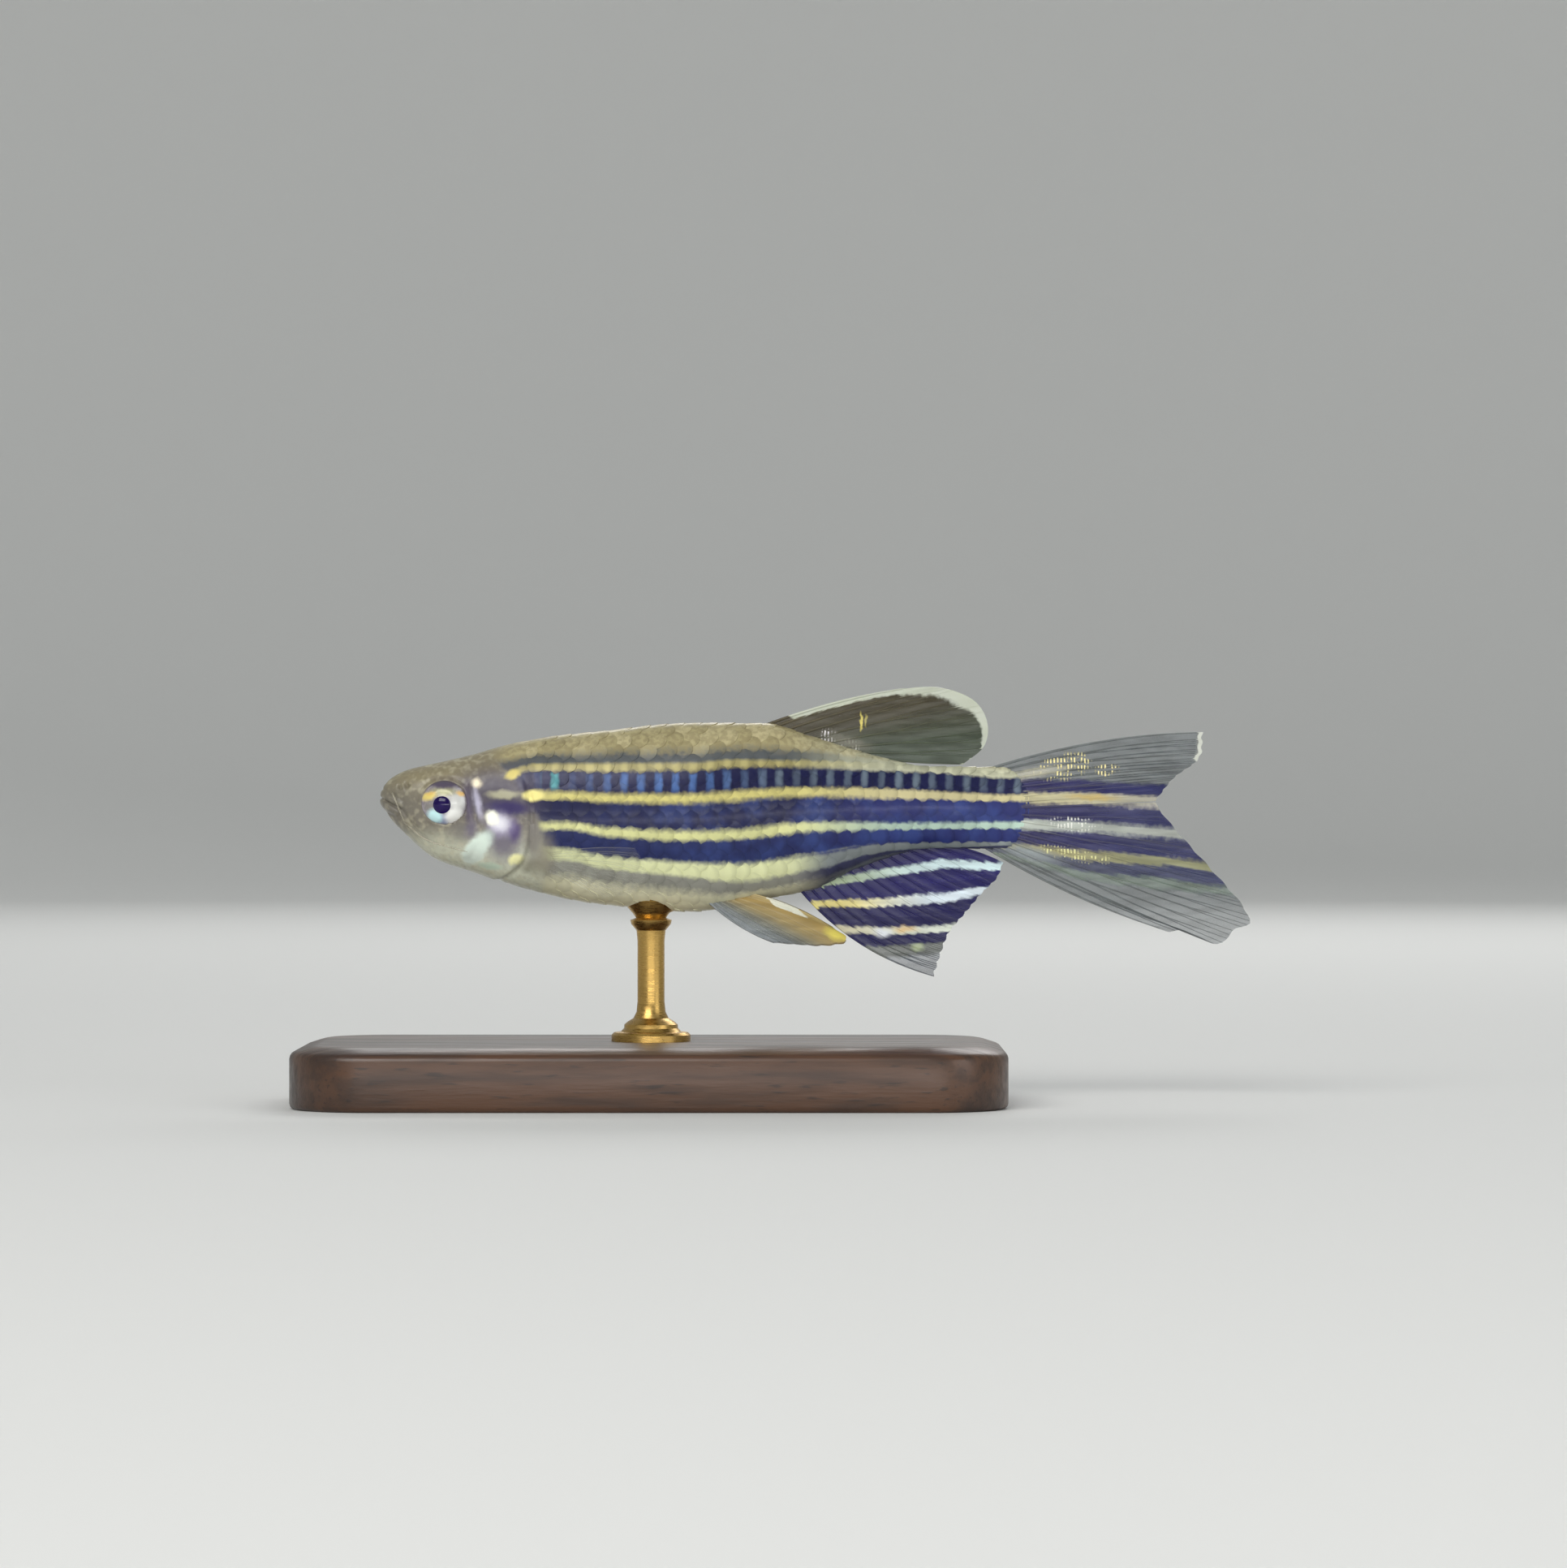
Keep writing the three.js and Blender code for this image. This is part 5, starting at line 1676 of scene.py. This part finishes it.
UPPER_TIPS = [(39.75, 3.24), (39.55, 2), (38.3, 1.05), (37.35, -0.07)]
LOWER_TIPS = [
    (37.35, -0.17), (38.2, -1.3), (40, -3.3), (41.5, -5.0), (41.95, -5.95), (41.1, -6.4),
    (40.45, -7.03), (39.4, -6.62), (38.55, -6.3), (38.1, -6.42), (37.5, -6.22),
]


def caudal_root(top, bottom):
    return line_between((CAUDAL["front"], 0, top), (CAUDAL["front"], 0, bottom))


upper_lobe = Fin(
    10, caudal_root(CAUDAL["top"], CAUDAL["middle"] + CAUDAL["gap"]), through_side(UPPER_TIPS),
    lambda v: row_of(z=0.42 * (1 - v) ** 2), lambda u, v: 1.3 * u * u * (1 - v),
)
lower_lobe = Fin(
    11, caudal_root(CAUDAL["middle"] - CAUDAL["gap"], CAUDAL["bottom"]), through_side(LOWER_TIPS),
    lambda v: row_of(z=-0.3 * v * v), lambda u, v: -0.6 * u * u * v,
)


def caudal_marks(fin, tip_border):
    def marks(u, v, points):
        moved = fin.place(u, stepped(v, 2 * fin.rays))
        number = lines_to_number(CAUDAL_LINES, CAUDAL_LINE_PLACES, moved[:, 0], moved[:, 2], first=0.7)
        border = smoothstep(0.962, 0.985, u) * smoothstep(0.4, 0.3, v) if tip_border else 0
        return (points[:, 0] - CAUDAL_MARKS_FROM) / CAUDAL_MARKS_LENGTH, number, border
    return marks


CLEAR_TAIL, PALE_TAIL = shade(96, 104, 108), shade(118, 132, 122)


def tail_stops(gold, pale, green, dark, dark_low):
    return bands(
        (0.055, CLEAR_TAIL), (0.158, dark), (0.24, gold), (0.36, dark), (0.437, pale), (0.56, dark),
        (0.635, green), (0.74, dark_low), (0.81, PALE_TAIL), (1, CLEAR_TAIL), soft=0.014,
    )


tail_look = dict(
    front=tail_stops(
        shade(206, 198, 158), shade(198, 204, 194), shade(168, 162, 118), shade(34, 30, 92), shade(70, 74, 98)
    ),
    rear=tail_stops(
        shade(188, 184, 168), shade(166, 170, 162), shade(148, 148, 112), shade(46, 48, 96), shade(48, 54, 96)
    ),
    opacity=hold([(0.055, 0.4), (0.25, 0.93), (0.64, 0.9), (0.75, 0.78), (0.82, 0.62), (1, 0.38)]),
    border=shade(226, 226, 214),
    ray=0.1,
    ray_hides=0.3,
    flecks=[
        ("pale upper root", 31.4, 1.28, 2.6, 0.36, -9, 0.9, shade(212, 208, 184)),
        ("grey lower root", 31.2, -2.6, 2.4, 0.55, 14, 0.9, shade(150, 158, 160)),
        ("gold glints", 32.9, 1.6, 1.9, 0.85, -12, GLINTS, shade(255, 240, 170)),
        ("gold glints behind", 35.0, 1.4, 0.8, 0.4, 0, GLINTS, shade(255, 240, 176)),
        ("orange in gold A", 34.2, 0.1, 1.9, 0.24, 2, 0.9, shade(208, 184, 118)),
        ("glints in green C", 33.3, -2.65, 2.4, 0.42, 10, GLINTS, shade(228, 224, 160)),
        ("glints in pale B", 33.4, -1.2, 1.7, 0.45, 6, GLINTS, shade(236, 236, 228)),
    ],
)
tail_finishes = both_finishes("tail", **tail_look)
for name, lobe, has_tip, notch in (("upper", upper_lobe, True, 0.008), ("lower", lower_lobe, False, 0.01)):
    make_fin(
        "tail_" + name, lobe, "striped_fin", ["tail_fin_" + name], caudal_marks(lobe, has_tip),
        tail_finishes, steps=32, notch=notch, fork_at=(0.38, 0.66),
    )

# %% [markdown]
# ## Paired fins
# The pelvic fins lie folded back under the belly, golden brown with a white streak on the upper
# edge and a yellow tip. The pectoral fins stand out behind the gill covers and are almost as
# clear as glass, so little of them shows in the photo.

# %% Make the pelvic and pectoral fins
PELVIC = {"rays": 8, "x": 15.6, "y": 0.75, "right_droop": 0.15}
PELVIC_GOLD, PELVIC_STREAK, PELVIC_TIP = shade(196, 174, 116), shade(250, 244, 214), shade(232, 216, 104)
PECTORAL = {"rays": 12, "x": 7.95, "top": -2.6, "bottom": -3.4, "root_sunk": 0.2, "tips_from": 0.7}


def pelvic_fin(side, droop):
    x, y = PELVIC["x"], side * PELVIC["y"]
    low = float(belly(x))
    return Fin(
        PELVIC["rays"], line_between((x + 0.9, y * 0.6, low + 1), (x, y, low + 0.6)),
        through([
            (21.7, y * 1.5, -6.15), (22.45, y * 2, -6.7 - droop), (21.3, y * 2.4, -6.95 - droop),
            (18.9, y * 2.7, -6.8 - droop),
        ]),
        lambda v: row_of(y=side * 0.15, z=0.35 - 0.6 * v), lambda u, v: 0 * u,
    )


def pectoral_fin(side):
    x = PECTORAL["x"]

    def root(z):
        return np.array([x, side * (float(half_at(x, z)) - PECTORAL["root_sunk"]), z])

    def away(z, dx, dy, dz):
        """A place of the tip line, so far from a place under the skin."""
        start = np.array([x, side * (float(half_at(x, z)) - PECTORAL["tips_from"]), z])
        return start + [dx, side * dy, dz]

    top, bottom = PECTORAL["top"], PECTORAL["bottom"]
    return Fin(
        PECTORAL["rays"], line_between(root(top), root(bottom)),
        through([
            away(top, 4.4, 3.1, 0.3), away(top, 4.9, 2.8, -0.7),
            away(bottom, 4.3, 2.4, -1), away(bottom, 2.7, 1.8, -1.3),
        ]),
        lambda v: row_of(y=side * 0.35, z=0.15 + 0 * v), lambda u, v: 0 * u,
    )


def fan_marks(u, v, points):
    return u, v, 0


def pelvic_marks(u, v, points):
    """The border is 1 in the white streak on the upper edge."""
    return u, v, smoothstep(0.26, 0.12, v) * smoothstep(0.36, 0.46, u) * smoothstep(0.76, 0.64, u)


pelvic_look = dict(
    front=[
        (0, PELVIC_GOLD), (0.2, shade(172, 146, 88)), (0.42, shade(164, 146, 102)),
        (0.6, shade(140, 136, 116)), (0.8, shade(144, 150, 150)), (1, shade(150, 158, 164)),
    ],
    opacity=[(0, 0.95), (0.45, 0.9), (0.65, 0.6), (1, 0.45)],
    border=PELVIC_STREAK,
    ray=0.1,
    flecks=[("yellow tip", 21.9, -6.45, 0.85, 0.42, 18, 0.8, PELVIC_TIP)],
)
pectoral_look = dict(
    front=[(0, shade(196, 194, 176)), (1, shade(200, 200, 190))],
    opacity=[(0, 0.03), (1, 0.02)],
    ray_hides=0.06,
)
pelvic_finishes = both_finishes("pelvic", **pelvic_look)
pectoral_finishes = both_finishes("pectoral", **pectoral_look)
for side, name in SIDES:
    droop = PELVIC["right_droop"] if name == "right" else 0
    make_fin(
        "pelvic_" + name, pelvic_fin(side, droop), "paired_fin", ["pelvic_fin_" + name], pelvic_marks,
        pelvic_finishes, radius=0.06, steps=18, notch=0.015,
    )
    make_fin(
        "pectoral_" + name, pectoral_fin(side), "paired_fin", ["pectoral_fin_" + name], fan_marks,
        pectoral_finishes, radius=0.035, steps=16, notch=0.01, billow=0.02,
    )

# %% [markdown]
# ## Stand
# The fish is held over a small wooden base by one brass rod. The base is a box whose upright
# corners are rounded and whose edges are eased with smaller bevels, with a shallow step run round
# the top. The rod is turned: a ring is extruded upwards and scaled at each step, as a lathe would
# cut it, from the foot up to a small cup that takes the belly.

# %% Finishes of the stand
WOOD_DARK, WOOD_PALE, WOOD_LINE, WOOD_PORE = (
    shade(48, 29, 18), shade(84, 54, 33), shade(36, 22, 14), shade(24, 15, 10)
)
BRASS_DARK, BRASS_PALE = shade(170, 134, 70), shade(206, 172, 104)


def wood_finish():
    made, tree, shader, place = start_material("dark_wood", Coat_Weight=0.25, Coat_Roughness=0.25)
    grown = stretched(tree, place, (0.07, 1, 0.6))
    figure, lines, pores = noise(tree, grown, 420), noise(tree, grown, 2600), noise(tree, grown, 9000, 2.0)
    colour = mix(tree, between(tree, figure, 0.35, 0.65), WOOD_DARK, WOOD_PALE)
    colour = mix(tree, between(tree, lines, 0.4, 0.7, 0.0, 0.55), colour, WOOD_LINE)
    colour = mix(tree, between(tree, pores, 0.6, 0.72, 0.0, 0.6), colour, WOOD_PORE)
    wire(tree, colour, shader.inputs["Base Color"])
    wire(tree, between(tree, lines, 0.3, 0.7, 0.32, 0.48), shader.inputs["Roughness"])
    roughen(tree, shader, pores, 0.3, 0.04 * MM)
    return made


def brass_finish():
    made, tree, shader, place = start_material("satin_brass", Metallic=1.0)
    scratches = noise(tree, stretched(tree, place, (1, 1, 8)), 2600, 4.0)
    wire(tree, mix(tree, scratches, BRASS_DARK, BRASS_PALE), shader.inputs["Base Color"])
    wire(tree, between(tree, scratches, 0.3, 0.7, 0.22, 0.4), shader.inputs["Roughness"])
    return made


# %% Model the base
CORNER, STEP_IN, STEP_UP = 4.0, 1.1, 0.35
EDGE_EASE = {"width": 0.28, "segments": 3, "sharper_than": 15}
base_low, base_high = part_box("stand_base")
base_size = base_high - base_low


def edit_only(thing, mode, parts, wanted):
    """Leaves a mesh in edit mode with only the wanted edges or faces selected."""
    bpy.ops.object.mode_set(mode="EDIT")
    bpy.ops.mesh.select_mode(type=mode)
    bpy.ops.mesh.select_all(action="DESELECT")
    bpy.ops.object.mode_set(mode="OBJECT")
    for part in getattr(thing.data, parts):
        part.select = wanted(part)
    bpy.ops.object.mode_set(mode="EDIT")


def is_upright(edge):
    low, high = (base.data.vertices[i].co.z for i in edge.vertices)
    return abs(low - high) > base_size.z / 2


deselect_all()
bpy.ops.mesh.primitive_cube_add(size=1, location=(base_low + base_high) / 2)
base = bpy.context.object
base.scale = base_size
settle(base)
edit_only(base, "EDGE", "edges", is_upright)
bpy.ops.mesh.bevel(offset=CORNER * MM, segments=10)
edit_only(base, "FACE", "polygons", lambda face: face.normal.z > 0.9)
bpy.ops.mesh.inset(thickness=STEP_IN * MM)
bpy.ops.object.mode_set(mode="OBJECT")
lowered = corners(base.data)
inside = np.array([vertex.select for vertex in base.data.vertices])
on_top = lowered[:, 2] > base_low.z + base_size.z / 2
lowered[on_top & ~inside, 2] -= STEP_UP * MM
move_corners(base.data, lowered)
pick(base)
eased = base.modifiers.new("eased", "BEVEL")
eased.width = EDGE_EASE["width"] * MM
eased.segments = EDGE_EASE["segments"]
eased.limit_method = "ANGLE"
eased.angle_limit = math.radians(EDGE_EASE["sharper_than"])
bpy.ops.object.modifier_apply(modifier="eased")
bpy.ops.object.shade_smooth_by_angle(angle=math.radians(40))
finish_piece(base, "base", "stand_base", ["stand_base"], wood_finish())

# %% Turn the rod
ROD_AT = 13.0
SEAT_FROM, SEAT_PROUD = 0.05, 0.02
rod_x, rod_y = SNOUT.x + ROD_AT * MM, float(sway(ROD_AT)) * MM
rod_top = SNOUT.z + float(belly(ROD_AT)) * MM
rod_foot = base_high.z
ROD_PROFILE = [
    # height over the base, or down from the belly where negative, and radius
    (0.0, 1.9), (0.3, 1.9), (0.42, 1.78), (0.46, 1.45), (0.62, 1.3), (0.8, 1.28), (0.95, 1.1), (1.1, 0.85),
    (1.4, 0.7), (1.9, 0.65), (-1.5, 0.65), (-1.0, 0.7), (-0.7, 0.95), (-0.5, 1.0), (-0.4, 0.72), (-0.15, 0.9),
    (0.12, 1.15),
]

deselect_all()
bpy.ops.mesh.primitive_circle_add(
    vertices=40, radius=ROD_PROFILE[0][1] * MM, fill_type="NGON",
    location=(rod_x, rod_y, rod_foot),
)
rod = bpy.context.object
settle(rod)
bpy.ops.object.mode_set(mode="EDIT")
bpy.ops.mesh.select_mode(type="FACE")
bpy.ops.mesh.select_all(action="SELECT")
height, radius = 0.0, ROD_PROFILE[0][1]
total = (rod_top - rod_foot) / MM
for i, (up, wide) in enumerate(ROD_PROFILE[1:], start=1):
    from_top = up < 0 or i == len(ROD_PROFILE) - 1
    reached = total + up if from_top else up
    upwards = (reached - height) * MM
    bpy.ops.mesh.extrude_region_move(TRANSFORM_OT_translate={"value": (0, 0, upwards)})
    bpy.ops.transform.resize(
        value=(wide / radius, wide / radius, 1), center_override=(rod_x, rod_y, 0)
    )
    height, radius = reached, wide
turn_outwards()
turned = corners(rod.data)
at_cup = turned[:, 2] > rod_top + SEAT_FROM * MM
cup_x, cup_y, _ = ((turned[at_cup] - np.array(SNOUT)) / MM).T
power = squareness(cup_x)
share_out = np.minimum(np.abs(cup_y - sway(cup_x)) / half(cup_x), 0.98)
seat = mid(cup_x) - (mid(cup_x) - belly(cup_x)) * (1 - share_out ** power) ** (1 / power)
turned[at_cup, 2] = SNOUT.z + (seat + SEAT_PROUD) * MM
move_corners(rod.data, turned)
pick(rod)
bpy.ops.object.shade_smooth_by_angle(angle=math.radians(30))
finish_piece(rod, "rod", "stand_rod", ["stand_rod"], brass_finish())
